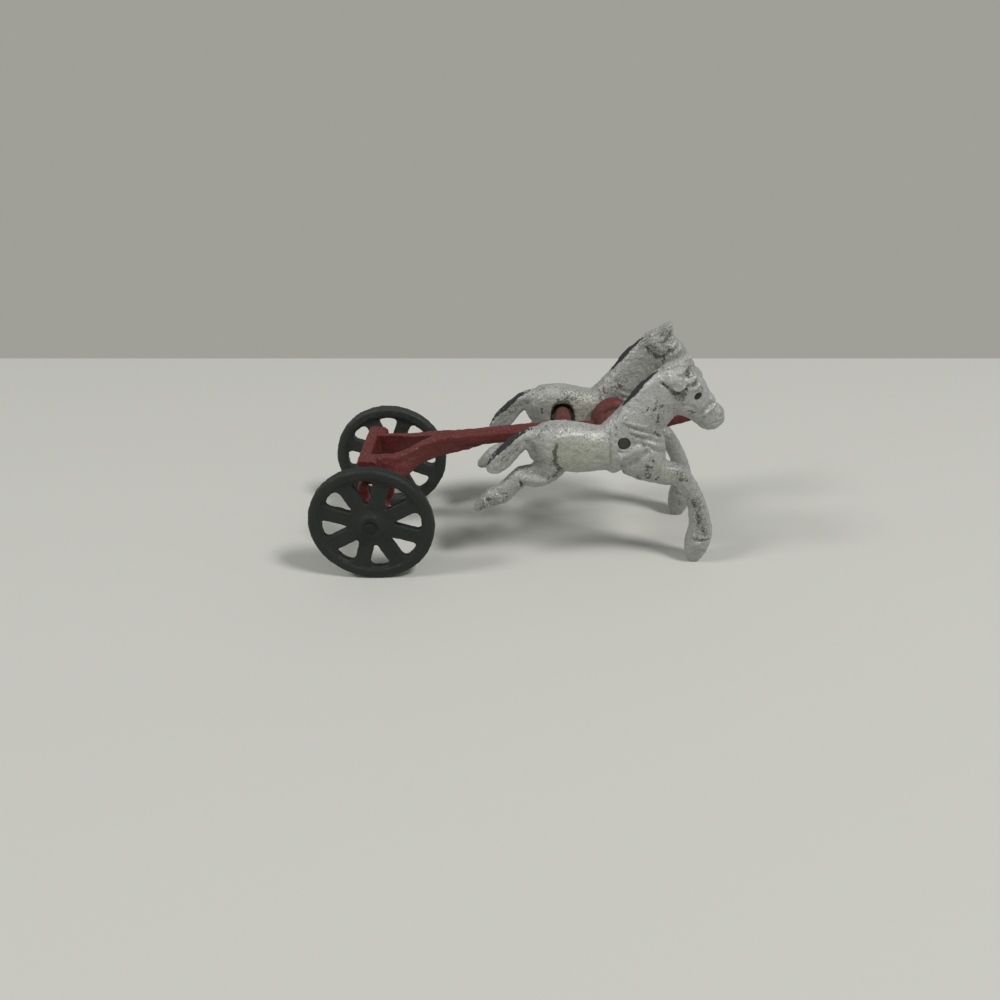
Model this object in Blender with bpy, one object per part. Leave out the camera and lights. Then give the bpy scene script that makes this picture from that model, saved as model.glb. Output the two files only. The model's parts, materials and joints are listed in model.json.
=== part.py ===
"""Cast iron toy: two galloping horses on a pole, with a two-wheeled limber.

Run it with: blender --background --python part.py

The toy is built with its axle over X = 0 and its horses towards +X, and is
then moved so that the middle of its box stands over the origin. Z = 0 is the
floor. Each horse rocks on the cross pin until the pole's side arm meets the
roof or the floor of the slot in the horse's flank.
"""

import math
from dataclasses import dataclass

import bmesh
import bpy
from mathutils import Matrix, Vector

MM = 0.001
SIDES = {"near": -1, "far": 1}

# Wheels, 2 inches across, with eight flat spokes.
WHEEL_DIAMETER = 50.0 * MM
WHEEL_TRACK = 58.0 * MM
RIM_WIDTH = 5.0 * MM
RIM_DEPTH = 5.1 * MM
RIM_EDGE = 0.9 * MM
RIM_SLOPE = 1.3 * MM
SPOKE_COUNT = 8
SPOKE_WIDTH = 6.5 * MM
WEB_THICKNESS = 2.9 * MM
WINDOW_CORNER = 1.6 * MM
# Degrees that each wheel stands turned by, as it was last left.
WHEEL_TURN = {"near": 5.3, "far": 0.5}
HUB_RADIUS = 6.2 * MM
HUB_OUTER_LENGTH = 3.1 * MM
HUB_INNER_LENGTH = 8.0 * MM
HUB_NOSE_RADIUS = 4.4 * MM

# Axle, 1/8 inch wire with peened heads.
AXLE_DIAMETER = 3.2 * MM
AXLE_HEAD_DIAMETER = 4.6 * MM
AXLE_HEAD_LENGTH = 1.1 * MM
TURNING_CLEARANCE = 0.3 * MM

# Cross pin, a 1/8 inch rivet through the pole and both horses.
PIN_DIAMETER = 3.2 * MM
PIN_HEAD_DIAMETER = 4.4 * MM
PIN_HEAD_LENGTH = 1.0 * MM
PIN_HEAD_SINK = 0.9 * MM
PIN_HEIGHT = 57.6 * MM
AXLE_TO_PIN = 97.8 * MM
PIN_CLEARANCE = 0.2 * MM

# Horses.
# Length that one unit of the station tables stands for; it sizes the whole horse.
HORSE_UNIT = 1.0 * MM
HORSE_SPACING = 37.5 * MM
HORSE_HALF_WIDTH = 7.3 * MM
HORSE_TRIANGLES = 3560
CASTING_VOXEL = 0.55 * MM
HOOF_CUT_DEPTH = 5.0 * MM

# Limber frame behind the pole.
FRAME_TOP = 45.8 * MM
FRAME_DEPTH = 9.0 * MM
CHEEK_HALF_SPAN = 11.5 * MM
CHEEK_THICKNESS = 2.7 * MM
CROSSBAR_REAR = -6.0 * MM
CROSSBAR_LENGTH = 4.7 * MM
CROSSBAR_HALF_SPAN = 16.3 * MM
CROSSBAR_RISE = 0.6 * MM
POCKET_LENGTH = 12.0 * MM
THROAT_X = 27.0 * MM
HANGER_THICKNESS = 3.0 * MM
HANGER_HALF_SPAN = 15.6 * MM
HANGER_BAR = 4.6 * MM
HANGER_HALF_LENGTH = 7.7 * MM
HANGER_TOP = 35.0 * MM
EYE_RADIUS = 4.8 * MM
EYE_HALF_SPAN = 18.2 * MM

# Pole, its boss round the cross pin and its side arms.
POLE_WIDTH = 6.6 * MM
POLE_DEPTH = 6.4 * MM
POLE_REAR_TOP = 51.0 * MM
POLE_TOP_BELOW_PIN = 2.3 * MM
POLE_SHOULDER = 11.0 * MM
POLE_TIP_AHEAD = 35.5 * MM
POLE_TIP_WIDTH = 4.0 * MM
BOSS_RADIUS = 7.7 * MM
BOSS_DROP = 3.6 * MM
BOSS_BEHIND_PIN = 0.6 * MM
# Share of its radius by which the boss is drawn out behind, into the pole.
BOSS_TAIL = 0.15
ARM_BEHIND_PIN = 20.9 * MM
ARM_WIDTH = 6.8 * MM
ARM_DEPTH = 6.0 * MM
ARM_DROP = 1.2 * MM
ARM_INSERTION = 5.6 * MM

# Slot in each horse's inner flank, which the side arm stops in.
SLOT_SIDE_CLEARANCE = 1.0 * MM
SLOT_ROOF_CLEARANCE = 0.3 * MM
SLOT_TRAVEL = 2.8 * MM
SLOT_END_CLEARANCE = 0.5 * MM
SLOT_FLARE = 0.8 * MM
SLOT_ROOF_FLARE = 1.9 * MM


@dataclass(frozen=True)
class Station:
    """One oval section of a horse: place from the pin and the floor, in horse units."""

    x: float
    z: float
    depth: float
    width: float
    square: float = 2.2


# Half depth and half width of each section; x is ahead of the pin, z above the floor.
TRUNK = (
    Station(-35.6, 55.6, 3.0, 3.4),
    Station(-32.9, 54.9, 7.0, 5.9),
    Station(-29.0, 54.6, 8.9, 7.0, 2.4),
    Station(-23.0, 54.0, 9.9, 7.3, 2.5),
    Station(-16.0, 53.0, 9.7, 7.3, 2.5),
    Station(-8.5, 52.6, 8.9, 7.2, 2.5),
    Station(-2.0, 52.9, 9.0, 7.2, 2.5),
    Station(1.4, 52.9, 8.9, 7.2, 2.5),
    Station(5.4, 51.6, 10.6, 7.2, 2.5),
    Station(9.8, 51.8, 12.2, 7.0, 2.5),
    Station(13.2, 52.9, 10.6, 6.0, 2.6),
    Station(14.8, 53.2, 8.8, 4.2, 2.6),
)
NECK = (
    Station(-3.5, 54.0, 9.0, 6.6),
    Station(3.2, 60.4, 9.5, 6.6),
    Station(8.2, 66.9, 9.4, 5.8),
    Station(12.5, 73.1, 8.9, 5.2),
    Station(16.7, 78.8, 7.9, 4.8),
    Station(19.8, 83.4, 5.4, 4.0),
)
HEAD = (
    Station(14.5, 82.0, 5.6, 4.2),
    Station(18.5, 78.4, 8.2, 5.2),
    Station(22.6, 74.6, 8.4, 5.4),
    Station(26.8, 70.8, 6.5, 4.7),
    Station(30.2, 67.4, 5.3, 4.0),
    Station(32.8, 65.7, 5.6, 4.0),
    Station(35.4, 64.4, 4.4, 3.3),
    Station(36.8, 63.8, 2.4, 1.8),
)
EAR = (
    Station(18.6, 75.0, 2.6, 5.2),
    Station(18.8, 79.0, 3.5, 5.5),
    Station(18.4, 83.0, 3.6, 4.6),
    Station(20.0, 86.6, 2.8, 3.4),
    Station(21.8, 89.6, 1.4, 2.2),
)
TAIL = (
    Station(-30.6, 58.6, 3.4, 3.4, 3.0),
    Station(-35.8, 57.6, 3.3, 3.2, 3.2),
    Station(-39.9, 54.9, 3.5, 3.0, 3.6),
    Station(-42.9, 51.8, 3.8, 3.0, 3.6),
    Station(-46.1, 48.1, 4.0, 3.0, 3.6),
    Station(-49.2, 45.0, 3.3, 2.6, 3.2),
    Station(-51.4, 43.6, 1.8, 1.8, 2.6),
)
HIND_LEG = (
    Station(-25.5, 52.0, 7.0, 6.6),
    Station(-27.4, 45.6, 6.4, 6.0),
    Station(-32.2, 41.2, 5.0, 4.9),
    Station(-38.2, 40.7, 4.0, 4.0),
    Station(-42.4, 36.6, 3.7, 3.5),
    Station(-46.6, 32.4, 4.2, 3.5),
    Station(-51.2, 30.2, 4.1, 3.5),
    Station(-54.2, 28.0, 3.3, 3.2),
    Station(-57.0, 25.9, 1.6, 2.0),
)
FORELEG = (
    Station(9.5, 46.2, 7.4, 6.2),
    Station(17.2, 41.9, 4.9, 4.9),
    Station(22.4, 41.0, 4.5, 4.3),
    Station(26.7, 37.0, 3.7, 3.9),
    Station(30.2, 31.4, 3.5, 3.7),
    Station(32.4, 25.6, 3.9, 3.7),
    Station(34.1, 18.8, 4.4, 3.7),
    Station(34.6, 14.6, 5.0, 4.0),
    Station(34.0, 8.8, 5.2, 4.0),
    Station(33.7, 3.8, 4.1, 3.0),
    Station(33.6, -0.2, 2.3, 1.5),
)
GIRTH_BAND = Station(-2.9, 52.9, 9.7, 7.7, 2.5)
GIRTH_BAND_LENGTH = 5.4 * MM
SMOOTH_STEPS = 3
RING_POINTS = 28


def clear_scene():
    """Remove every object of the start-up scene."""
    for item in list(bpy.data.objects):
        bpy.data.objects.remove(item, do_unlink=True)


def paint(name, colour, roughness, metallic):
    """Return a Principled material of one colour, given as linear RGB."""
    material = bpy.data.materials.new(name)
    material.use_nodes = True
    shader = material.node_tree.nodes["Principled BSDF"]
    shader.inputs["Base Color"].default_value = (*colour, 1.0)
    shader.inputs["Roughness"].default_value = roughness
    shader.inputs["Metallic"].default_value = metallic
    material.diffuse_color = (*colour, 1.0)
    return material


def object_from(name, mesh_data):
    """Put a bmesh into a new object of the scene and free it."""
    mesh = bpy.data.meshes.new(name)
    bmesh.ops.recalc_face_normals(mesh_data, faces=mesh_data.faces)
    mesh_data.to_mesh(mesh)
    mesh_data.free()
    item = bpy.data.objects.new(name, mesh)
    bpy.context.scene.collection.objects.link(item)
    return item


def apply_modifiers(item):
    """Replace an object's mesh by what its modifiers make of it."""
    graph = bpy.context.evaluated_depsgraph_get()
    result = bpy.data.meshes.new_from_object(item.evaluated_get(graph))
    item.modifiers.clear()
    item.data = result


def combine(item, others, operation):
    """Join or cut an object by others with an exact Boolean, and drop them."""
    for other in others:
        boolean = item.modifiers.new(operation.title(), "BOOLEAN")
        boolean.operation = operation
        boolean.solver = "EXACT"
        boolean.object = other
        apply_modifiers(item)
        bpy.data.objects.remove(other, do_unlink=True)
    return item


def bridge(mesh_data, rings):
    """Skin a list of equal rings of points and close both ends."""
    loops = [[mesh_data.verts.new(point) for point in ring] for ring in rings]
    count = len(loops[0])
    for first, second in zip(loops, loops[1:]):
        for i in range(count):
            j = (i + 1) % count
            mesh_data.faces.new((first[i], first[j], second[j], second[i]))
    mesh_data.faces.new(loops[0])
    mesh_data.faces.new(reversed(loops[-1]))


def prism(name, outline, start, end, taper=1.0, centre=(0.0, 0.0)):
    """Extrude an outline of (x, z) points along Y, scaled at its end about centre."""
    mesh_data = bmesh.new()
    near_ring = [Vector((x, start, z)) for x, z in outline]
    cx, cz = centre
    far_ring = [Vector((cx + (x - cx) * taper, end, cz + (z - cz) * taper)) for x, z in outline]
    bridge(mesh_data, [near_ring, far_ring])
    return object_from(name, mesh_data)


def lathe(name, profile, segments, centre):
    """Turn a profile of (radius, y) points round the Y axis through centre."""
    mesh_data = bmesh.new()
    rings = []
    for radius, y in profile:
        ring = []
        for i in range(segments):
            angle = 2.0 * math.pi * (i + 0.5) / segments
            place = Vector((radius * math.cos(angle), y, radius * math.sin(angle)))
            ring.append(place + Vector(centre))
        rings.append(ring)
    bridge(mesh_data, rings)
    return object_from(name, mesh_data)


def rod(name, radius, start, end, centre, segments=32):
    """Return a plain cylinder along Y."""
    return lathe(name, [(radius, start), (radius, end)], segments, centre)


def rounded_outline(corners, radii, steps=4):
    """Round each corner of a closed outline of (x, z) points with an arc."""
    outline = []
    count = len(corners)
    for i in range(count):
        here = Vector(corners[i])
        before = (Vector(corners[i - 1]) - here).normalized()
        after = (Vector(corners[(i + 1) % count]) - here).normalized()
        half_angle = before.angle(after) / 2.0
        radius = radii[i]
        if radius <= 0.0:
            outline.append(tuple(here))
            continue
        setback = radius / math.tan(half_angle)
        centre = here + (before + after).normalized() * (radius / math.sin(half_angle))
        first = here + before * setback - centre
        sweep = first.angle_signed(here + after * setback - centre)
        for step in range(steps + 1):
            turned = Matrix.Rotation(-sweep * step / steps, 2) @ first
            outline.append(tuple(centre + turned))
    return outline


def smooth_path(stations, steps):
    """Return stations with Catmull-Rom steps put between each pair."""
    def mix(points, t):
        p0, p1, p2, p3 = points
        return 0.5 * (
            2.0 * p1
            + (p2 - p0) * t
            + (2.0 * p0 - 5.0 * p1 + 4.0 * p2 - p3) * t * t
            + (3.0 * p1 - p0 - 3.0 * p2 + p3) * t * t * t
        )

    names = ("x", "z", "depth", "width", "square")
    padded = [stations[0], *stations, stations[-1]]
    path = []
    for i in range(len(stations) - 1):
        group = padded[i:i + 4]
        for step in range(steps):
            values = [mix([getattr(s, name) for s in group], step / steps) for name in names]
            path.append(Station(*values))
    path.append(stations[-1])
    return path


def oval_ring(station, tangent):
    """Return one oval ring across the tangent, in the horse's own frame."""
    across = Vector((-tangent.z, 0.0, tangent.x))
    ring = []
    for i in range(RING_POINTS):
        angle = 2.0 * math.pi * i / RING_POINTS
        power = 2.0 / station.square
        side = math.copysign(abs(math.cos(angle)) ** power, math.cos(angle))
        rise = math.copysign(abs(math.sin(angle)) ** power, math.sin(angle))
        centre = Vector((station.x, 0.0, station.z))
        sideways = Vector((0.0, station.width * side, 0.0))
        ring.append((centre + across * station.depth * rise + sideways) * HORSE_UNIT)
    return ring


def limb(name, stations):
    """Skin a limb through its stations, with a domed cap at each end."""
    path = smooth_path(stations, SMOOTH_STEPS)
    mesh_data = bmesh.new()
    rings = []
    for i, station in enumerate(path):
        before = path[max(i - 1, 0)]
        after = path[min(i + 1, len(path) - 1)]
        tangent = Vector((after.x - before.x, 0.0, after.z - before.z)).normalized()
        if i == 0:
            rings.append(domed_end(station, -tangent, tangent))
        rings.append(oval_ring(station, tangent))
        if i == len(path) - 1:
            rings.append(domed_end(station, tangent, tangent))
    bridge(mesh_data, rings)
    return object_from(name, mesh_data)


def domed_end(station, outward, tangent):
    """Return the small ring that closes a limb's end with a dome."""
    reach = 0.45 * min(station.depth, station.width)
    tip = Station(
        station.x + outward.x * reach,
        station.z + outward.z * reach,
        0.55 * station.depth,
        0.55 * station.width,
        station.square,
    )
    return oval_ring(tip, tangent)


def girth_band():
    """Return the saddle band, an oval slice a little proud of the trunk."""
    half = GIRTH_BAND_LENGTH / HORSE_UNIT / 2.0
    band = GIRTH_BAND
    ends = [
        Station(band.x - half, band.z, band.depth - 1.0, band.width - 0.8, band.square),
        Station(band.x - half * 0.5, band.z, band.depth, band.width, band.square),
        Station(band.x + half * 0.5, band.z, band.depth, band.width, band.square),
        Station(band.x + half, band.z, band.depth - 1.0, band.width - 0.8, band.square),
    ]
    mesh_data = bmesh.new()
    bridge(mesh_data, [oval_ring(s, Vector((1.0, 0.0, 0.0))) for s in ends])
    return object_from("girth_band", mesh_data)


def arm_outline(half_width, top, bottom):
    """Return an upright outline with a round top, centred on x = 0."""
    arc_centre = top - half_width
    steps = 10
    outline = [(-half_width, bottom), (half_width, bottom)]
    for i in range(steps + 1):
        angle = math.pi * i / steps
        outline.append((half_width * math.cos(angle), arc_centre + half_width * math.sin(angle)))
    return outline


def arm_top():
    """Return the height of the side arm's top."""
    return PIN_HEIGHT - ARM_DROP


def horse(side, material):
    """Cast one horse. Its origin is on the cross pin's axis, at its middle."""
    forms = [limb("limb", stations) for stations in (TRUNK, NECK, HEAD, EAR, TAIL, HIND_LEG, FORELEG)]
    forms.append(girth_band())
    body = forms[0]
    merged = bmesh.new()
    for form in forms:
        merged.from_mesh(form.data)
    merged.to_mesh(body.data)
    merged.free()
    for form in forms[1:]:
        bpy.data.objects.remove(form, do_unlink=True)

    remesh = body.modifiers.new("Cast skin", "REMESH")
    remesh.mode = "VOXEL"
    remesh.voxel_size = CASTING_VOXEL
    smooth = body.modifiers.new("Fillets", "SMOOTH")
    smooth.factor = 0.5
    smooth.iterations = 6
    apply_modifiers(body)
    thin = body.modifiers.new("Facets", "DECIMATE")
    thin.ratio = HORSE_TRIANGLES / sum(len(face.vertices) - 2 for face in body.data.polygons)
    apply_modifiers(body)

    body.name = {-1: "near_horse", 1: "far_horse"}[side]
    inner = -side
    under = [(-AXLE_TO_PIN, -HOOF_CUT_DEPTH), (AXLE_TO_PIN, -HOOF_CUT_DEPTH), (AXLE_TO_PIN, 0.0), (-AXLE_TO_PIN, 0.0)]
    floor = prism("floor", under, -HORSE_SPACING, HORSE_SPACING)
    cutters = [flank_slot(inner), pin_bore(side), floor]
    combine(body, cutters, "DIFFERENCE")
    body.data.materials.clear()
    body.data.materials.append(material)
    body.data.transform(Matrix.Translation((0.0, 0.0, -PIN_HEIGHT)))
    body.location = (AXLE_TO_PIN, side * HORSE_SPACING / 2.0, PIN_HEIGHT)
    return body


def flank_slot(inner):
    """Return the cutter of the flank's slot, flared towards its mouth."""
    half_width = ARM_WIDTH / 2.0 + SLOT_SIDE_CLEARANCE
    top = arm_top() + SLOT_ROOF_CLEARANCE
    bottom = arm_top() - ARM_DEPTH - SLOT_TRAVEL
    depth_end = HORSE_HALF_WIDTH - ARM_INSERTION - SLOT_END_CLEARANCE
    mouth = HORSE_HALF_WIDTH + 1.0 * MM
    flare = SLOT_FLARE * (mouth - depth_end) / ARM_INSERTION
    roof_flare = SLOT_ROOF_FLARE * (mouth - depth_end) / ARM_INSERTION
    deep = arm_outline(half_width, top, bottom)
    wide = arm_outline(half_width + flare, top + roof_flare, bottom - flare)
    shallow = arm_outline(half_width + flare * 0.25, top, bottom - flare * 0.25)
    middle = depth_end + ARM_INSERTION * 0.45
    rings = []
    for outline, y in ((deep, depth_end), (shallow, middle), (wide, mouth)):
        rings.append([Vector((x - ARM_BEHIND_PIN, inner * y, z)) for x, z in outline])
    mesh_data = bmesh.new()
    bridge(mesh_data, rings)
    return object_from("slot", mesh_data)


def pin_bore(side):
    """Return the cutter of the pin's bore and of its head's recess."""
    bore = PIN_DIAMETER / 2.0 + PIN_CLEARANCE
    recess = PIN_HEAD_DIAMETER / 2.0 + PIN_CLEARANCE
    through = HORSE_HALF_WIDTH + 2.0 * MM
    seat = pin_head_start() - HORSE_SPACING / 2.0 - TURNING_CLEARANCE
    profile = [(bore, -side * through), (bore, side * seat), (recess, side * seat), (recess, side * through)]
    return lathe("bore", profile, 28, (0.0, 0.0, PIN_HEIGHT))


def pin_head_start():
    """Return how far from the middle the pin's head begins."""
    return HORSE_SPACING / 2.0 + HORSE_HALF_WIDTH - PIN_HEAD_LENGTH - PIN_HEAD_SINK


def cross_pin(material):
    """Return the rivet that carries both horses."""
    start = pin_head_start()
    shank = PIN_DIAMETER / 2.0
    head = PIN_HEAD_DIAMETER / 2.0
    end = start + PIN_HEAD_LENGTH
    edge = 0.25 * MM
    half = [(shank, start), (head, start), (head, end - edge), (head - edge, end)]
    profile = [(radius, -y) for radius, y in reversed(half)] + half
    pin = lathe("cross_pin", profile, 24, (0.0, 0.0, 0.0))
    pin.location = (AXLE_TO_PIN, 0.0, PIN_HEIGHT)
    pin.data.materials.append(material)
    return pin


def axle(material):
    """Return the axle with its two peened heads."""
    shank = AXLE_DIAMETER / 2.0
    head = AXLE_HEAD_DIAMETER / 2.0
    start = WHEEL_TRACK / 2.0 + HUB_OUTER_LENGTH + TURNING_CLEARANCE
    end = start + AXLE_HEAD_LENGTH
    edge = 0.4 * MM
    half = [(shank, start), (head, start), (head, end - edge), (head - edge, end)]
    profile = [(radius, -y) for radius, y in reversed(half)] + half
    bar = lathe("axle", profile, 20, (0.0, 0.0, 0.0))
    bar.location = (0.0, 0.0, WHEEL_DIAMETER / 2.0)
    bar.data.materials.append(material)
    return bar


def window_outline():
    """Return one window between two spokes, its point towards the hub."""
    half_pitch = math.pi / SPOKE_COUNT
    half_spoke = SPOKE_WIDTH / 2.0
    outer = WHEEL_DIAMETER / 2.0 - RIM_DEPTH
    apex = half_spoke / math.sin(half_pitch)
    corner = half_pitch - math.asin(half_spoke / outer)
    corners = [
        (apex, 0.0),
        (outer * math.cos(corner), outer * math.sin(corner)),
        (outer, 0.0),
        (outer * math.cos(corner), -outer * math.sin(corner)),
    ]
    return rounded_outline(corners, [WINDOW_CORNER * 0.4, WINDOW_CORNER, 0.0, WINDOW_CORNER], 3)


def wheel(side, material):
    """Cast one wheel. Its origin is on the axle, at the middle of its rim."""
    radius = WHEEL_DIAMETER / 2.0
    half_rim = RIM_WIDTH / 2.0
    face = WEB_THICKNESS / 2.0
    inner = radius - RIM_DEPTH + 0.3 * MM
    bore = AXLE_DIAMETER / 2.0 + TURNING_CLEARANCE
    profile = [
        (bore, HUB_OUTER_LENGTH),
        (HUB_NOSE_RADIUS, HUB_OUTER_LENGTH),
        (HUB_RADIUS, face + 0.4 * MM),
        (HUB_RADIUS + 1.2 * MM, face),
        (inner, face),
        (inner + RIM_SLOPE, half_rim),
        (radius - RIM_EDGE, half_rim),
        (radius, half_rim - RIM_EDGE),
        (radius, RIM_EDGE - half_rim),
        (radius - RIM_EDGE, -half_rim),
        (inner + RIM_SLOPE, -half_rim),
        (inner, -face),
        (HUB_RADIUS, -face),
        (HUB_NOSE_RADIUS, -HUB_INNER_LENGTH),
        (bore, -HUB_INNER_LENGTH),
    ]
    segments = 48
    mesh_data = bmesh.new()
    rings = []
    for ring_radius, y in profile:
        ring = []
        for i in range(segments):
            angle = 2.0 * math.pi * i / segments
            place = (ring_radius * math.cos(angle), side * y, ring_radius * math.sin(angle))
            ring.append(mesh_data.verts.new(place))
        rings.append(ring)
    for first, second in zip(rings, rings[1:] + rings[:1]):
        for i in range(segments):
            j = (i + 1) % segments
            mesh_data.faces.new((first[i], first[j], second[j], second[i]))
    body = object_from({-1: "near_wheel", 1: "far_wheel"}[side], mesh_data)

    cutter_data = bmesh.new()
    phase = math.radians(WHEEL_TURN[{-1: "near", 1: "far"}[side]])
    for i in range(SPOKE_COUNT):
        turn = Matrix.Rotation(-phase - 2.0 * math.pi * i / SPOKE_COUNT, 3, "Y")
        rings = []
        for y in (-RIM_WIDTH, RIM_WIDTH):
            rings.append([turn @ Vector((x, y, z)) for x, z in window_outline()])
        bridge(cutter_data, rings)
    combine(body, [object_from("windows", cutter_data)], "DIFFERENCE")
    body.data.materials.clear()
    body.data.materials.append(material)
    body.location = (0.0, side * WHEEL_TRACK / 2.0, WHEEL_DIAMETER / 2.0)
    return body


def box_section(centre, half_width, half_height, heading, corner=0.25):
    """Return a rounded rectangle across a heading in the XY plane."""
    across = Vector((-heading.y, heading.x, 0.0))
    cut_w = min(half_width, half_height) * 2.0 * corner
    outline = []
    for sy, sz in ((-1, -1), (1, -1), (1, 1), (-1, 1)):
        points = [(sy * (half_width - cut_w), sz * half_height), (sy * half_width, sz * (half_height - cut_w))]
        if sy * sz > 0:
            points.reverse()
        outline.extend(points)
    return [Vector(centre) + across * w + Vector((0.0, 0.0, h)) for w, h in outline]


def pole():
    """Return the pole from the pocket's throat to its tip."""
    pin_z = PIN_HEIGHT
    boss_z = pin_z - POLE_TOP_BELOW_PIN - POLE_DEPTH / 2.0
    rear_z = POLE_REAR_TOP - POLE_DEPTH / 2.0
    half_w = POLE_WIDTH / 2.0
    half_d = POLE_DEPTH / 2.0
    span = AXLE_TO_PIN - THROAT_X
    tip_half = POLE_TIP_WIDTH / 2.0
    stations = [
        (THROAT_X - 3.0 * MM, rear_z - 0.6 * MM, half_w * 0.9, half_d),
        (THROAT_X + 3.0 * MM, rear_z, half_w, half_d),
        (THROAT_X + span * 0.35, rear_z + (boss_z - rear_z) * 0.52, half_w, half_d),
        (THROAT_X + span * 0.62, boss_z - 0.6 * MM, half_w, half_d),
        (AXLE_TO_PIN - POLE_SHOULDER, boss_z, half_w * 0.95, half_d * 0.95),
        (AXLE_TO_PIN, boss_z + 1.5 * MM, half_w * 0.9, half_d * 0.9),
        (AXLE_TO_PIN + POLE_SHOULDER, pin_z - 2.1 * MM, half_w * 0.85, half_d * 0.88),
        (AXLE_TO_PIN + POLE_TIP_AHEAD * 0.62, pin_z - 1.1 * MM, tip_half * 1.3, tip_half * 1.5),
        (AXLE_TO_PIN + POLE_TIP_AHEAD * 0.93, pin_z + 1.0 * MM, tip_half, tip_half),
        (AXLE_TO_PIN + POLE_TIP_AHEAD, pin_z + 1.2 * MM, tip_half * 0.55, tip_half * 0.55),
    ]
    forward = Vector((1.0, 0.0, 0.0))
    mesh_data = bmesh.new()
    bridge(mesh_data, [box_section((x, 0.0, z), w, d, forward) for x, z, w, d in stations])
    return object_from("pole_frame", mesh_data)


def side_wall(side):
    """Return one wall of the pocket, flared to its hanger, down to the pole's throat."""
    outer = CHEEK_HALF_SPAN
    inner = outer - CHEEK_THICKNESS
    flare = HANGER_HALF_SPAN
    foot = HANGER_THICKNESS
    top = FRAME_TOP
    low = FRAME_TOP - FRAME_DEPTH
    rise = POLE_REAR_TOP - top
    bend = POCKET_LENGTH
    half = POLE_WIDTH / 2.0
    throat = THROAT_X
    pole_low = POLE_REAR_TOP - POLE_DEPTH
    # Along X: inner face, outer face, top, foot of the flare out and down, floor of the wall.
    stations = [
        (CROSSBAR_REAR + 1.5 * MM, inner, outer, top, flare, HANGER_TOP, low),
        (bend * 0.3, inner, outer, top, flare, HANGER_TOP, low),
        (bend * 0.65, inner - 0.4 * MM, outer, top + rise * 0.03, flare - 0.1 * MM, HANGER_TOP, low),
        (bend * 0.92, inner - 1.9 * MM, outer - 1.0 * MM, top + rise * 0.1, flare - 1.5 * MM,
         HANGER_TOP + 1.2 * MM, low + 0.3 * MM),
        (bend * 1.18, inner - 4.2 * MM, outer - 2.4 * MM, top + rise * 0.24, flare - 3.8 * MM,
         low + 1.4 * MM, low + 1.8 * MM),
        (bend * 1.5, inner - 6.0 * MM, outer - 4.7 * MM, top + rise * 0.5, flare - 7.4 * MM,
         pole_low - 4.1 * MM, pole_low - 4.1 * MM),
        (throat - 3.0 * MM, -half * 0.1, half * 1.42, top + rise * 0.83, half * 1.5, pole_low - 3.0 * MM,
         pole_low - 3.0 * MM),
        (throat + 2.5 * MM, -half * 0.1, half * 1.04, POLE_REAR_TOP, half * 1.06, pole_low - 2.0 * MM,
         pole_low - 2.0 * MM),
        (throat + 9.0 * MM, -half * 0.1, half * 0.9, POLE_REAR_TOP - 0.5 * MM, half * 0.88, pole_low - 0.8 * MM,
         pole_low - 0.8 * MM),
        (throat + 20.0 * MM, -half * 0.1, half * 0.7, POLE_REAR_TOP - 0.5 * MM, half * 0.7, pole_low + 2.6 * MM,
         pole_low + 2.6 * MM),
    ]
    edge = 1.0 * MM
    rings = []
    for x, wall_in, wall_out, high, foot_out, foot_low, floor in stations:
        drop = high - foot_low
        lean = foot_out - wall_out
        foot_in = max(foot_out - foot, wall_in + 0.2 * MM)
        outline = [
            (wall_in, floor),
            (wall_in, high),
            (wall_out - edge, high),
            (wall_out, high - edge),
            (wall_out + lean * 0.22, high - drop * 0.33),
            (wall_out + lean * 0.62, high - drop * 0.62),
            (wall_out + lean * 0.92, high - drop * 0.84),
            (foot_out, foot_low),
            (foot_in, foot_low),
            (foot_in, min(floor, foot_low + 1.6 * MM) + 0.02 * MM),
        ]
        rings.append([Vector((x, side * y, z)) for y, z in outline])
    mesh_data = bmesh.new()
    bridge(mesh_data, rings)
    return object_from("side_wall", mesh_data)


def crossbar():
    """Return the rear crossbar, with an ear past each cheek."""
    rear = CROSSBAR_REAR
    front = CROSSBAR_REAR + CROSSBAR_LENGTH
    top = FRAME_TOP + CROSSBAR_RISE
    bottom = FRAME_TOP - FRAME_DEPTH
    edge = 0.8 * MM
    outline = rounded_outline([(rear, bottom), (front, bottom), (front, top), (rear, top)], [edge] * 4, 2)
    return prism("crossbar", outline, -CROSSBAR_HALF_SPAN, CROSSBAR_HALF_SPAN)


def ear_block(side):
    """Return the short lug that turns each end of the crossbar forwards."""
    rear = CROSSBAR_REAR
    front = CROSSBAR_REAR + CROSSBAR_LENGTH + 3.4 * MM
    top = FRAME_TOP + CROSSBAR_RISE - 0.1 * MM
    bottom = FRAME_TOP - FRAME_DEPTH * 0.62
    outline = rounded_outline(
        [(rear + 0.3 * MM, bottom), (front, bottom), (front, top), (rear + 0.3 * MM, top)],
        [0.8 * MM, 1.6 * MM, 2.4 * MM, 0.8 * MM],
        3,
    )
    inside = CHEEK_HALF_SPAN - CHEEK_THICKNESS * 0.5
    outside = CROSSBAR_HALF_SPAN - 0.2 * MM
    return prism("ear", outline, side * inside, side * outside)


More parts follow.
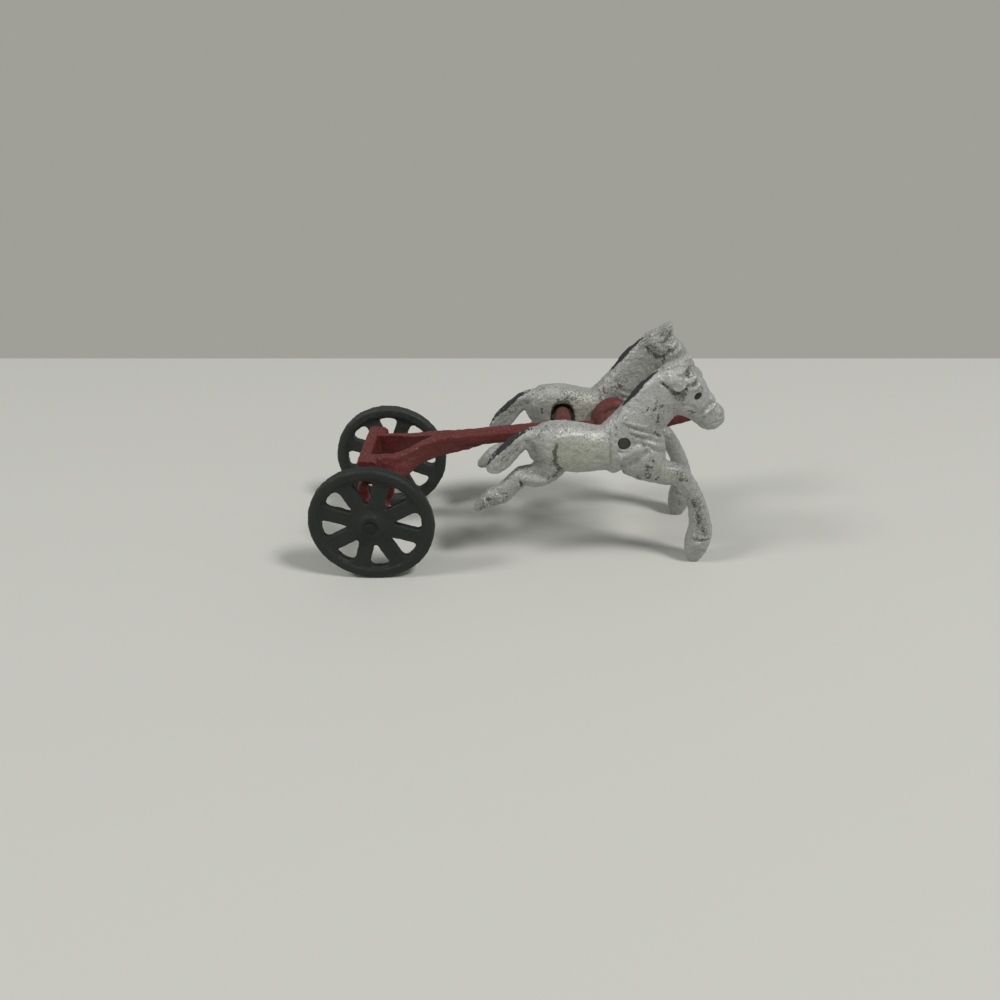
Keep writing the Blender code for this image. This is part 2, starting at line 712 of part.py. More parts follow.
def hanger(side):
    """Return one hanger: two bars below a side wall that meet in the axle's eye."""
    axle_z = WHEEL_DIAMETER / 2.0
    half = HANGER_HALF_LENGTH
    top = HANGER_TOP + 1.0 * MM
    waist = axle_z + EYE_RADIUS * 1.3
    eye = EYE_RADIUS
    outer = [
        (-half * 0.8, top),
        (-half, waist),
        (-eye * 0.92, axle_z),
        (-eye * 0.5, axle_z - eye * 0.8),
        (eye * 0.5, axle_z - eye * 0.8),
        (eye * 0.92, axle_z),
        (half, waist),
        (half, top),
    ]
    radii = [0.0, 3.0 * MM, 0.0, 0.0, 0.0, 0.0, 3.0 * MM, 0.0]
    window_half = half - HANGER_BAR
    sill = axle_z + eye * 0.95
    window = rounded_outline(
        [(-window_half, sill), (window_half, sill), (window_half, top + MM), (-window_half, top + MM)],
        [1.2 * MM, 1.2 * MM, 0.0, 0.0],
        3,
    )
    thick = HANGER_THICKNESS - 0.3 * MM
    outside = HANGER_HALF_SPAN - 0.15 * MM
    plate = prism("hanger", rounded_outline(outer, radii, 3), side * (outside - thick), side * outside)
    return combine(plate, [prism("window", window, -2.0 * outside, 2.0 * outside)], "DIFFERENCE")


def boss():
    """Return the boss round the pin, drawn out behind so that it runs into the pole."""
    half_length = HORSE_SPACING / 2.0 - HORSE_HALF_WIDTH - 2.0 * TURNING_CLEARANCE
    edge = 0.8 * MM
    steps = 36
    mesh_data = bmesh.new()
    rings = []
    for radius, y in (
        (BOSS_RADIUS - edge, -half_length),
        (BOSS_RADIUS, -half_length + edge),
        (BOSS_RADIUS, half_length - edge),
        (BOSS_RADIUS - edge, half_length),
    ):
        ring = []
        for i in range(steps):
            angle = 2.0 * math.pi * (i + 0.5) / steps
            across, up = math.cos(angle), math.sin(angle)
            stretch = 1.0 + BOSS_TAIL * (1.0 - max(up, 0.0)) ** 2 if across < 0.0 else 1.0
            x = AXLE_TO_PIN - BOSS_BEHIND_PIN + radius * across * stretch
            ring.append(Vector((x, y, PIN_HEIGHT - BOSS_DROP + radius * up)))
        rings.append(ring)
    bridge(mesh_data, rings)
    return object_from("boss", mesh_data)


def pole_frame(material):
    """Cast the limber frame, pole, boss and side arms as one piece."""
    body = pole()
    axle_centre = (0.0, 0.0, WHEEL_DIAMETER / 2.0)
    arm_end = HORSE_SPACING / 2.0 - HORSE_HALF_WIDTH + ARM_INSERTION
    arm_shape = arm_outline(ARM_WIDTH / 2.0, arm_top(), arm_top() - ARM_DEPTH)
    arm_shape = [(x + AXLE_TO_PIN - ARM_BEHIND_PIN, z) for x, z in arm_shape]
    added = [
        boss(),
        prism("arm", arm_shape, -arm_end, arm_end),
        crossbar(),
    ]
    for side in SIDES.values():
        added.append(side_wall(side))
        added.append(ear_block(side))
        added.append(hanger(side))
        inside = HANGER_HALF_SPAN - HANGER_THICKNESS - 0.6 * MM
        start, end = sorted((side * inside, side * EYE_HALF_SPAN))
        added.append(rod("eye", EYE_RADIUS, start, end, axle_centre, 28))
    combine(body, added, "UNION")

    bores = [rod("pin_bore", PIN_DIAMETER / 2.0 + PIN_CLEARANCE, -arm_end, arm_end,
                 (AXLE_TO_PIN, 0.0, PIN_HEIGHT), 28)]
    reach = EYE_HALF_SPAN + 2.0 * MM
    bores.append(rod("axle_bore", AXLE_DIAMETER / 2.0 + TURNING_CLEARANCE, -reach, reach, axle_centre, 24))
    combine(body, bores, "DIFFERENCE")
    body.data.materials.clear()
    body.data.materials.append(material)
    return body


def shade_round(item, angle):
    """Shade an object smooth, with edges sharper than the angle kept."""
    mesh = item.data
    for face in mesh.polygons:
        face.use_smooth = True
    mesh_data = bmesh.new()
    mesh_data.from_mesh(mesh)
    for edge in mesh_data.edges:
        edge.smooth = len(edge.link_faces) == 2 and edge.calc_face_angle() < angle
    mesh_data.to_mesh(mesh)
    mesh_data.free()


def stand_on_origin(items):
    """Move the toy so that the middle of its box stands over the origin."""
    bpy.context.view_layer.update()
    corners = [item.matrix_world @ Vector(corner) for item in items for corner in item.bound_box]
    middle = (min(c.x for c in corners) + max(c.x for c in corners)) / 2.0
    for item in items:
        item.location.x -= middle
    return middle


def main():
    """Build the toy."""
    clear_scene()
    silver = paint("silver_paint", (0.49, 0.50, 0.49), 0.42, 0.25)
    red = paint("oxblood_paint", (0.19, 0.022, 0.022), 0.45, 0.0)
    black = paint("black_japan", (0.022, 0.024, 0.024), 0.5, 0.0)
    steel = paint("dark_steel", (0.045, 0.044, 0.04), 0.5, 0.6)
    items = [pole_frame(red), cross_pin(steel), axle(steel)]
    for side in SIDES.values():
        items.append(wheel(side, black))
        items.append(horse(side, silver))
    for item in items:
        shade_round(item, math.radians(40.0))
    middle = stand_on_origin(items)
    print("toy moved by", round(-middle / MM, 3), "mm along X")


main()
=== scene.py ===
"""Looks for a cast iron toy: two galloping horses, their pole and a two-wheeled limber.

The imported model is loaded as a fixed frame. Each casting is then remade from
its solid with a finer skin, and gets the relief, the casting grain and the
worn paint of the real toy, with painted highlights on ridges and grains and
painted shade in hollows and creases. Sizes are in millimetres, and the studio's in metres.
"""

import json
import logging
import math
from dataclasses import dataclass, replace
from enum import Enum
from functools import partial
from typing import Sequence

import bpy
import numpy as np
from bpy.types import Material, Node, NodeSocket, NodeTree, Object
from mathutils import Matrix, Vector

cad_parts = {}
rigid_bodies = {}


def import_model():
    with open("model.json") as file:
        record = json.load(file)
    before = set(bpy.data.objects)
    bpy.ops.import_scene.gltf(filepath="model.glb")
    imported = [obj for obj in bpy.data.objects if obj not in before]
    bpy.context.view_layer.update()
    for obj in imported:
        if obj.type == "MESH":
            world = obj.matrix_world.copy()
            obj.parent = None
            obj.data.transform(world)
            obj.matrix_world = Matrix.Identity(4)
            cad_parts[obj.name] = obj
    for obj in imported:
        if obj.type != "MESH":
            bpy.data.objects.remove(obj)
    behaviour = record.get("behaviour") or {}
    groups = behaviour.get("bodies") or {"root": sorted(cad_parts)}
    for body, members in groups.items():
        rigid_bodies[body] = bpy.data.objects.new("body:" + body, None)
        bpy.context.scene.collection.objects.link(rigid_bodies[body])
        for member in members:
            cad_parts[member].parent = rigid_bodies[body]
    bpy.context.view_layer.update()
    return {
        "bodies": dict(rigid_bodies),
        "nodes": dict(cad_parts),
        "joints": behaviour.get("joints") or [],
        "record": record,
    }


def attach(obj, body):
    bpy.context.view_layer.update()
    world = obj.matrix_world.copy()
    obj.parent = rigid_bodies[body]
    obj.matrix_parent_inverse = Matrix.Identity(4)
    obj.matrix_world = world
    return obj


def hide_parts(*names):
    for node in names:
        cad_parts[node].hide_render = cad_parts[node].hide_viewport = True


MM = 0.001
LOG = logging.getLogger("toy")
Point = tuple[float, float]
Path = tuple[float, ...]
Rows = tuple[tuple[Path, float, float], ...]
# A pattern in a material: a socket, or a socket with two values and what these become.
Field = NodeSocket | tuple

# The swells of a sand casting's skin: each wavelength in mm, and its share of the whole.
SWELLS = ((14.0, 0.5), (7.5, 0.3), (3.6, 0.2))
WAVES_IN_SWELL = 5
# The lumps that the sand leaves: the rounds of smoothing that set their width, and their height in mm.
LUMPS = ((16, 0.055), (3, 0.025))
# The most that a ridge is lightened by itself, partly as rubbed wear and partly as a painted highlight;
# strokes may add to it.
RIDGE_LIMIT = 0.65
# The numbers of a Mix node's sockets for colours, whose names aren't unique.
MIX_COVER, MIX_UNDER, MIX_OVER, MIX_RESULT = 0, 6, 7, 2


class Side(Enum):
    """The two sides of the toy, with the sign of Y on each."""

    NEAR = -1
    FAR = 1

    @property
    def word(self) -> str:
        """Return the word for this side in the names of the frame's solids and bodies."""
        return self.name.lower()


class Where(Enum):
    """Which part of a horse's skin a stroke works on."""

    FLANKS = "flanks"
    FRONT = "front"
    BACK = "back"
    ALL = "all"
    TOP = "top"


class Coat(Enum):
    """The painted masks that a casting's material reads."""

    BLACK = "black_paint"
    GRIME = "grime"
    UPPER = "upper_faces"
    RIDGE = "rubbed_ridges"
    HOLLOW = "dusty_hollows"
    WEAR = "worn_patches"
    WARM = "yellowed_patches"


class Join(Enum):
    """How the fields of a material are joined."""

    SUM = "ADD"
    PRODUCT = "MULTIPLY"
    HIGHEST = "MAXIMUM"


# Helpers


def linear(hex_colour: str) -> tuple[float, float, float, float]:
    """Turn an sRGB hex colour into linear RGBA.

    Args:
        hex_colour: Six hex digits after a hash sign.

    Returns:
        Linear red, green, blue and an alpha of 1.
    """
    parts = [int(hex_colour[i:i + 2], 16) / 255.0 for i in (1, 3, 5)]
    rgb = [c / 12.92 if c <= 0.04045 else ((c + 0.055) / 1.055) ** 2.4 for c in parts]
    return (rgb[0], rgb[1], rgb[2], 1.0)


def per_mm(size_mm: float) -> float:
    """Return the texture scale at which one feature is about size_mm across."""
    return 1.0 / (size_mm * MM)


def rise(values: np.ndarray, start: float, full: float) -> np.ndarray:
    """Return 0 before start, 1 past full and a straight ramp between them."""
    return np.clip((values - start) / (full - start), 0.0, 1.0)


def bell(distance: np.ndarray, reach: float | np.ndarray, sharp: float = 2.0) -> np.ndarray:
    """Return 1 where the distance is 0, falling away at the reach, the steeper the sharper."""
    return np.exp(-((np.abs(distance) / reach) ** sharp))


def pick_only(item: Object) -> None:
    """Deselect everything, then select one object and make it active.

    Args:
        item: The object to work on.
    """
    bpy.ops.object.select_all(action="DESELECT")
    item.select_set(True)
    bpy.context.view_layer.objects.active = item


def apply_modifier(item: Object, kind: str, **settings: object) -> None:
    """Add a modifier to an object and apply it.

    Args:
        item: The object to change.
        kind: Blender's name for the modifier.
        **settings: Values for the modifier's properties.
    """
    pick_only(item)
    modifier = item.modifiers.new(kind.title(), kind)
    for name, value in settings.items():
        setattr(modifier, name, value)
    bpy.ops.object.modifier_apply(modifier=modifier.name)


def bake_place(item: Object) -> None:
    """Put an object's place, turn and scale into its mesh."""
    pick_only(item)
    bpy.ops.object.transform_apply(location=True, rotation=True, scale=True)


def node_copy(frame: dict, node: str, name: str) -> Object:
    """Copy a solid of the frame into a new, merged mesh object.

    Args:
        node: The solid's name.
        name: The new object's name.

    Returns:
        The new object, with its doubles merged.
    """
    source = frame["nodes"][node]
    mesh = source.data.copy()
    mesh.name = name
    item = bpy.data.objects.new(name, mesh)
    bpy.context.scene.collection.objects.link(item)
    pick_only(item)
    bpy.ops.object.mode_set(mode="EDIT")
    bpy.ops.mesh.select_all(action="SELECT")
    bpy.ops.mesh.remove_doubles(threshold=0.000001)
    bpy.ops.object.mode_set(mode="OBJECT")
    mesh.materials.clear()
    return item


def recast(item: Object, grain_mm: float, rounds: int, waves_mm: float, seed: int) -> None:
    """Give a copied solid the even, slightly wavy skin of a sand casting.

    Args:
        item: The object to remake.
        grain_mm: The size of the new skin's faces.
        rounds: How many times the skin is smoothed.
        waves_mm: How far the skin swells and dips.
        seed: Where in the wave pattern this casting lies.
    """
    apply_modifier(item, "REMESH", mode="VOXEL", voxel_size=grain_mm * MM)
    apply_modifier(item, "SMOOTH", factor=0.5, iterations=rounds)
    points, normals = read_skin(item)
    rng = np.random.default_rng(seed)
    swell = np.zeros(len(points))
    for wavelength, share in SWELLS:
        for _ in range(WAVES_IN_SWELL):
            direction = rng.normal(size=3)
            direction /= np.linalg.norm(direction)
            phase = rng.uniform(0.0, 2.0 * math.pi)
            turns = points @ direction / (wavelength * MM)
            swell += share * np.sin(2.0 * math.pi * turns + phase) / WAVES_IN_SWELL
    edges = read_edges(item)
    for width, height_mm in LUMPS:
        lumps = spread(rng.normal(size=len(points)), edges, width)
        swell += lumps / lumps.std() * height_mm / waves_mm
    write_skin(item, points + normals * (swell * waves_mm * MM)[:, None])
    item.data.shade_smooth()


def read_skin(item: Object) -> tuple[np.ndarray, np.ndarray]:
    """Return a mesh's points and normals as arrays of n by 3.

    Args:
        item: A mesh object.

    Returns:
        The points and the normals.
    """
    mesh = item.data
    points = np.zeros(len(mesh.vertices) * 3)
    mesh.vertices.foreach_get("co", points)
    normals = np.zeros(len(mesh.vertices) * 3)
    mesh.vertex_normals.foreach_get("vector", normals)
    return points.reshape(-1, 3), normals.reshape(-1, 3)


def write_skin(item: Object, points: np.ndarray) -> None:
    """Store new points, n by 3, in a mesh."""
    item.data.vertices.foreach_set("co", points.ravel())
    item.data.update()


def write_mask(item: Object, coat: Coat, values: np.ndarray) -> None:
    """Store one painted mask on a mesh's points, where it is higher than what is there.

    Args:
        item: A mesh object.
        coat: Which mask.
        values: One number for each point, cut to lie from 0 to 1.
    """
    layers = item.data.attributes
    layer = layers.get(coat.value) or layers.new(coat.value, "FLOAT", "POINT")
    there = np.zeros(len(values), dtype=np.float32)
    layer.data.foreach_get("value", there)
    layer.data.foreach_set("value", np.clip(np.maximum(values, there), 0.0, 1.0).astype(np.float32))


def read_edges(item: Object) -> np.ndarray:
    """Return the two points of each edge of a mesh.

    Args:
        item: A mesh object.

    Returns:
        The points' numbers, n by 2.
    """
    edges = np.zeros(len(item.data.edges) * 2, dtype=np.int64)
    item.data.edges.foreach_get("vertices", edges)
    return edges.reshape(-1, 2)


def spread(values: np.ndarray, edges: np.ndarray, rounds: int) -> np.ndarray:
    """Smooth one number per point over a mesh.

    Args:
        values: One number for each point.
        edges: What read_edges gave.
        rounds: How many times each point is averaged with its neighbours.

    Returns:
        The smoothed numbers.
    """
    size = len(values)
    first, second = edges[:, 0], edges[:, 1]
    count = np.bincount(edges.ravel(), minlength=size)
    for _ in range(rounds):
        total = np.bincount(first, values[second], size) + np.bincount(second, values[first], size)
        values = (values + total / count) / 2.0
    return values


def weather(item: Object, rounds: int, ridge_mm: Point, hollow_mm: Point) -> None:
    """Paint the masks of ridges, lightened as rubbed wear and as a painted highlight, of hollows, darkened
    as dust and as painted shade, and of what faces up.

    Args:
        item: A finished casting.
        rounds: How wide the surroundings are that each point is compared with.
        ridge_mm: How far a ridge stands out where its mask starts and where it is full.
        hollow_mm: The same for a hollow, as depths.
    """
    points, normals = read_skin(item)
    edges = read_edges(item)
    around = np.stack([spread(points[:, axis], edges, rounds) for axis in range(3)], axis=1)
    proud = spread(((points - around) * normals).sum(axis=1) / MM, edges, 2)
    write_mask(item, Coat.RIDGE, np.minimum(rise(proud, *ridge_mm), RIDGE_LIMIT))
    write_mask(item, Coat.HOLLOW, rise(-proud, *hollow_mm))
    # Upward faces, where the grains' painted highlight flecks are strongest.
    write_mask(item, Coat.UPPER, normals[:, 2] * 1.3)


def distance_to_path(x: np.ndarray, z: np.ndarray, path: Path) -> tuple[np.ndarray, np.ndarray]:
    """Return each point's distance in a plane to a path of straight runs.

    Args:
        x: The points' first coordinate, in mm.
        z: The points' second coordinate, in mm.
        path: Both coordinates of each corner in turn, in mm; one corner makes a dot.

    Returns:
        The distances in mm, and how far along the path each lies, from 0 to 1.
    """
    corners = list(zip(path[::2], path[1::2]))
    if len(corners) == 1:
        return np.hypot(x - path[0], z - path[1]), np.full(len(x), 0.5)
    best = np.full(len(x), np.inf)
    along = np.zeros(len(x))
    runs = list(zip(corners, corners[1:]))
    total = sum(math.dist(start, end) for start, end in runs)
    passed = 0.0
    for (ax, az), (bx, bz) in runs:
        dx, dz = bx - ax, bz - az
        length = math.hypot(dx, dz)
        t = np.clip(((x - ax) * dx + (z - az) * dz) / (length * length), 0.0, 1.0)
        distance = np.hypot(x - ax - t * dx, z - az - t * dz)
        closer = distance < best
        best = np.where(closer, distance, best)
        along = np.where(closer, (passed + t * length) / total, along)
        passed += length
    return best, along


# Materials


def new_material(name: str) -> tuple[Material, Node]:
    """Return a new material and its main shader.

    Args:
        name: What the real material is and how it was put on.

    Returns:
        The material and its Principled shader.
    """
    material = bpy.data.materials.new(name)
    material.use_nodes = True
    return material, material.node_tree.nodes["Principled BSDF"]


def add_node(
    tree: NodeTree,
    kind: str,
    inputs: dict | Sequence = (),
    output: int | str = 0,
    **settings: object,
) -> NodeSocket | None:
    """Add one shader node with its settings and links.

    Args:
        tree: The material's node tree.
        kind: Blender's type name for the node, after ShaderNode.
        inputs: Sockets to link or values to set, in order or by name or number.
        output: The name or number of the output that is wanted.
        **settings: Values for the node's properties.

    Returns:
        The output, or nothing from a node that has none.
    """
    node = tree.nodes.new(f"ShaderNode{kind}")
    for name, value in settings.items():
        setattr(node, name, value)
    for key, value in inputs.items() if isinstance(inputs, dict) else enumerate(inputs):
        if isinstance(value, NodeSocket):
            tree.links.new(value, node.inputs[key])
        else:
            node.inputs[key].default_value = value
    return node.outputs[output] if node.outputs else None


def combine(tree: NodeTree, join: Join, *fields: Field) -> NodeSocket:
    """Stretch fields where asked and join them into one.

    Args:
        tree: The material's node tree.
        join: How two fields are joined.
        *fields: What is joined; two values with nothing after them become 0 and 1.

    Returns:
        The joined field.
    """
    total = None
    for part in fields:
        if isinstance(part, tuple):
            part = add_node(tree, "MapRange", part)
        total = part if total is None else add_node(tree, "Math", (total, part), operation=join.value)
    return total


@dataclass(frozen=True)
class WornPaint:
    """A brushed oil paint on sand-cast iron, thin, old and handled, with painted highlights on its ridges
    and grains and painted shade in its hollows.

    Attributes:
        shade: Where the coat is thin over the casting's grains.
        tint: Where the brush laid it unevenly.
        light: Ridges that are rubbed bright, and the painted highlight on ridges and grains.
        speck: Small spots where the coat is gone.
        bare: Larger chips down to the iron.
        pepper: How much of the dark grains shows.
        salt: How much of the painted highlight flecks on the grains shows.
        speck_cover: Above which noise level there are specks.
        chip_cover: Above which noise level there are chips.
    """

    name: str
    body: str
    shade: str
    tint: str
    light: str
    speck: str
    bare: str
    roughness: float
    metallic: float
    pepper: float
    salt: float
    speck_cover: float
    chip_cover: float
    grain_bump: float
    ridge_wear: float
    hollow_dirt: float
    specular: float = 0.5
    warm: str = "#a5a698"
    black: str = "#151611"
    grime: str = "#3a3b32"

    def make(self) -> Material:
        """Build the material.

        Returns:
            The finished material.
        """
        material, shader = new_material(self.name)
        tree = material.node_tree
        join = partial(combine, tree)
        place = add_node(tree, "TexCoord", output="Object")
        # Each noise has the size of its features in mm, its detail and its roughness.
        patches, cloud, grains, fine, flecks, blotches, pits, scabs, scuffs, bristles = (
            add_node(
                tree, "TexNoise",
                {"Vector": place, "Scale": per_mm(size), "Detail": detail, "Roughness": roughness},
            )
            for size, detail, roughness in (
                (17.0, 1.0, 0.55), (4.2, 3.0, 0.6), (0.85, 2.0, 0.6), (0.5, 1.0, 0.55), (0.62, 2.0, 0.7),
                (7.0, 2.0, 0.55), (2.2, 5.0, 0.75), (13.0, 1.0, 0.55), (0.7, 3.0, 0.7), (1.3, 4.0, 0.7),
            )
        )
        masks = {coat: add_node(tree, "Attribute", output="Fac", attribute_name=coat.value) for coat in Coat}

        # Small dark specks and larger chips, where paint is worn through at the casting's high grains.
        speck_field = join(Join.SUM, flecks, (blotches, 0.40, 0.62, 0.0, 0.06),
                           (masks[Coat.WEAR], 0.0, 1.0, 0.0, 0.20))
        specks = join(Join.SUM, (speck_field, self.speck_cover, self.speck_cover + 0.07))
        chips = join(Join.PRODUCT, (pits, self.chip_cover, self.chip_cover + 0.03), (scabs, 0.45, 0.60))
        # The painted masks get broken edges.
        warm_and_shade_edge = join(Join.PRODUCT, masks[Coat.WARM], (cloud, 0.0, 1.0, -0.5, 2.5))
        grime_and_shade_edge = join(Join.PRODUCT, masks[Coat.GRIME], (scuffs, 0.0, 1.0, -0.2, 2.2))
        grime = join(Join.SUM, (grime_and_shade_edge, 0.32, 0.78))
        black_edge = join(Join.SUM, masks[Coat.BLACK], (grains, 0.0, 1.0, -0.25, 0.25))
        black = join(Join.SUM, (black_edge, 0.40, 0.56))

        # The coats from the first to the last: a colour, and the fields whose product is its cover.
        upper = masks[Coat.UPPER]
        rubbed_off = join(Join.SUM, (bristles, 0.60, 0.72, 0.0, 0.4))
        black_coat = {MIX_COVER: rubbed_off, MIX_UNDER: linear(self.black), MIX_OVER: linear(self.speck)}
        colour = linear(self.body)
        for paint, *cover in (
            # Brushed coats vary over a centimetre or so, and yellow where an older coat shows; on the pole
            # the same layer is a painted brown shade.
            (linear(self.tint), (patches, 0.42, 0.62, 0.0, 0.7)),
            (linear(self.warm), (warm_and_shade_edge, 0.25, 0.95)),
            (linear(self.shade), (cloud, 0.50, 0.74, 0.0, 0.38)),
            # Pepper: every grain of the casting shows dark through the thin coat. Salt: light flecks on the
            # grains, a painted highlight, strongest on upward faces.
            (linear(self.shade), (grains, 0.50, 0.70, 0.0, self.pepper), (upper, 0.0, 1.0, 0.5, 1.0)),
            (linear(self.light), (fine, 0.48, 0.72, 0.0, self.salt), (upper, 0.0, 1.0, 0.3, 1.0)),
            # Ridges are lightened, partly rubbed by hands and partly a painted highlight; hollows are
            # darkened, partly dust and partly painted shade.
            (linear(self.light), masks[Coat.RIDGE], (flecks, 0.30, 0.60, 0.0, self.ridge_wear)),
            (linear(self.grime), masks[Coat.HOLLOW], (grains, 0.25, 0.65, 0.0, self.hollow_dirt)),
            (linear(self.speck), (specks, 0.0, 1.0, 0.0, 0.7)),
            (linear(self.bare), (chips, 0.0, 1.0, 0.0, 0.8)),
            # Grime, and painted shade in the hump's fold and in the dark arch round each horse's slot.
            (linear(self.grime), (grime, 0.0, 1.0, 0.0, 0.85)),
            (add_node(tree, "Mix", black_coat, MIX_RESULT, data_type="RGBA"), (black, 0.0, 1.0, 0.0, 0.96)),
        ):
            coats = {MIX_COVER: join(Join.PRODUCT, *cover), MIX_UNDER: colour, MIX_OVER: paint}
            colour = add_node(tree, "Mix", coats, MIX_RESULT, data_type="RGBA")

        worn = join(Join.HIGHEST, specks, chips, grime)
        not_paint = join(Join.HIGHEST, worn, black)
        gloss = (self.roughness - 0.08, self.roughness + 0.08)
        rough = join(Join.SUM, (cloud, 0.3, 0.7, *gloss), (not_paint, 0.0, 1.0, 0.0, 0.25),
                     (masks[Coat.RIDGE], 0.7, 1.0, 0.0, -0.14))
        height = join(Join.SUM, (grains, 0.0, 1.0, 0.0, 0.6), (cloud, 0.0, 1.0, 0.0, 0.9),
                      (fine, 0.0, 1.0, 0.0, 0.3), (worn, 0.0, 1.0, 0.0, -0.25))
        bump = {"Strength": self.grain_bump, "Distance": 0.35 * MM, "Height": height}
        for name, socket in (
            ("Base Color", colour),
            ("Roughness", rough),
            ("Metallic", join(Join.SUM, (not_paint, 0.0, 1.0, self.metallic, 0.0))),
            ("Normal", add_node(tree, "Bump", bump)),
        ):
            tree.links.new(socket, shader.inputs[name])
        shader.inputs["IOR"].default_value = 1.5
        shader.inputs["Specular IOR Level"].default_value = self.specular
        return material


@dataclass(frozen=True)
class DarkSteel:
    """Soft steel rivet wire, hammered over and gone dark with age."""

    name: str
    body: str
    rust: str

    def make(self) -> Material:
        """Build the material.

        Returns:
            The finished material.
        """
        material, shader = new_material(self.name)
        tree = material.node_tree
        place = add_node(tree, "TexCoord", output="Object")
        links = {"Vector": place, "Scale": per_mm(1.1), "Detail": 4.0, "Roughness": 0.65}
        marks = add_node(tree, "TexNoise", links)
        rusty = add_node(tree, "MapRange", (marks, 0.45, 0.7))
        colours = {MIX_COVER: rusty, MIX_UNDER: linear(self.body), MIX_OVER: linear(self.rust)}
        for name, socket in (
            ("Base Color", add_node(tree, "Mix", colours, MIX_RESULT, data_type="RGBA")),
            ("Roughness", add_node(tree, "MapRange", (marks, 0.2, 0.47, 0.55, 1.0))),
            ("Normal", add_node(tree, "Bump", {"Strength": 0.5, "Distance": 0.15 * MM, "Height": marks})),
        ):
            tree.links.new(socket, shader.inputs[name])
        shader.inputs["Metallic"].default_value = 0.35
        return material


# Aluminium bronze paint on iron: a dull silver grey that shows every bump as a glint.
SILVER = WornPaint(
    "aged_aluminium_paint_on_cast_iron",
    body="#a5a6a2", shade="#6f7069", tint="#9d9e99", light="#d6d7d2", speck="#4c4d45", bare="#34352e",
    roughness=0.45, metallic=0.15, pepper=0.95, salt=0.6, speck_cover=0.69, chip_cover=0.75,
    grain_bump=0.8, ridge_wear=0.75, hollow_dirt=0.6,
)
# The far horse's paint: the same paint with a darker, greyer body, a painted shade, and a little more worn.
SHADED_SILVER = replace(
    SILVER, name="knocked_aluminium_paint_on_cast_iron",
    body="#a0a19b", tint="#999a93", shade="#777870", speck="#5a5b53", speck_cover=0.68, ridge_wear=0.6,
)
# Oxblood oil paint on iron: dark red with a low sheen, brown where it has rubbed thin, and a painted brown
# shade on the side arms and the hump's lowered half.
OXBLOOD = WornPaint(
    "aged_oxblood_oil_paint_on_cast_iron",
    body="#5f2a28", shade="#432422", tint="#5b2a25", light="#8a5049", speck="#97705f", bare="#3a2b24",
    roughness=0.42, metallic=0.0, pepper=0.75, salt=0.5, speck_cover=0.72, chip_cover=0.76,
    grain_bump=0.6, ridge_wear=0.75, hollow_dirt=0.6, specular=0.25, warm="#60473a", grime="#2f241c",
)
# Black varnish on iron: nearly black, a little green and dusty.
BLACK = WornPaint(
    "aged_black_varnish_on_cast_iron",
    body="#272a28", shade="#212422", tint="#2a2d29", light="#363935", speck="#4d4d46", bare="#302e2a",
    roughness=0.55, metallic=0.0, pepper=0.5, salt=0.4, speck_cover=0.77, chip_cover=0.77,
    grain_bump=0.5, ridge_wear=0.3, hollow_dirt=0.3, specular=0.25, grime="#1f201e",
)
# The far wheel's varnish: the same black painted lighter, a painted light on the face that the near wheel
# and the frame shade.
LIGHTENED_BLACK = replace(
    BLACK, name="dusty_black_varnish_on_cast_iron",
    body="#323532", shade="#2b2e2b", tint="#343733", light="#3d403b",
)
# Gloss black enamel, dotted on for the eyes.
ENAMEL = WornPaint(
    "dotted_black_enamel",
    body="#20211d", shade="#1b1c19", tint="#242521", light="#2a2b27", speck="#30302c", bare="#2a2a26",
    roughness=0.35, metallic=0.0, pepper=0.3, salt=0.3, speck_cover=0.9, chip_cover=0.9,
    grain_bump=0.2, ridge_wear=0.0, hollow_dirt=0.0, specular=0.35,
)
# Peened rivet wire, dark grey; the axle's ends are blacker from the wheels' grime.
RIVET_STEEL = DarkSteel("peened_rivet_steel", "#4a4b43", "#4a4238")
AXLE_STEEL = DarkSteel("blackened_axle_wire", "#282a28", "#302b26")


# Relief and wear


@dataclass(frozen=True)
class Stroke:
    """One ridge, hollow or painted line on a horse.

    Attributes:
        path: How far each corner is ahead of the pin and above the floor, in turn, in mm.
        reach: How far it works to each side, in mm.
        height: How far it lifts the skin, in mm; below zero it cuts.
        where: Which part of the skin it works on.
        coat: The painted mask that it fills, if any.
        strength: How full the mask gets.
        sharp: How steep its edge is; 2 is soft.
        across: How far from the horse's middle plane it still works, in mm.
        taper: How much narrower its ends are than its middle, from 0 to 1.
    """

    path: Path
    reach: float
    height: float = 0.0
    where: Where = Where.FLANKS
    coat: Coat | None = None
    strength: float = 1.0
    sharp: float = 2.0
    across: float = 99.0
    taper: float = 0.0


@dataclass(frozen=True)
class Wear:
    """What years of play have left on one side of a horse.

    Each row has a path, a reach in mm and a strength, or in what is raised a height.

    Attributes:
        worn: Patches where the paint is peppered with worn spots.
        rubbed: Ridges lightened by rubbing or as a painted highlight.
        shaded: Hollows darkened as painted shade.
        scratched: Dark marks with a sharp edge: scratches, and a painted shadow round the slot.
        smudged: Dark marks with a soft edge.
        raised: Ridges of this side alone.
    """

    worn: Rows
    rubbed: Rows
    dusty: Rows
    scratched: Rows
    smudged: Rows
    raised: Rows = ()

    def strokes(self, where: Where) -> list[Stroke]:
        """Turn the rows into strokes.

        Args:
            where: The side of the horse that they go on.

        Returns:
            The strokes.
        """
        painted = [
            Stroke(path, reach, 0.0, where, coat, strength, sharp)
            for rows, coat, sharp in (
                (self.worn, Coat.WEAR, 2.0),
                (self.rubbed, Coat.RIDGE, 2.0),
                (self.dusty, Coat.HOLLOW, 2.0),
                (self.scratched, Coat.GRIME, 3.0),
                (self.smudged, Coat.GRIME, 2.0),
            )
            for path, reach, strength in rows
        ]
        return painted + [Stroke(path, reach, height, where) for path, reach, height in self.raised]


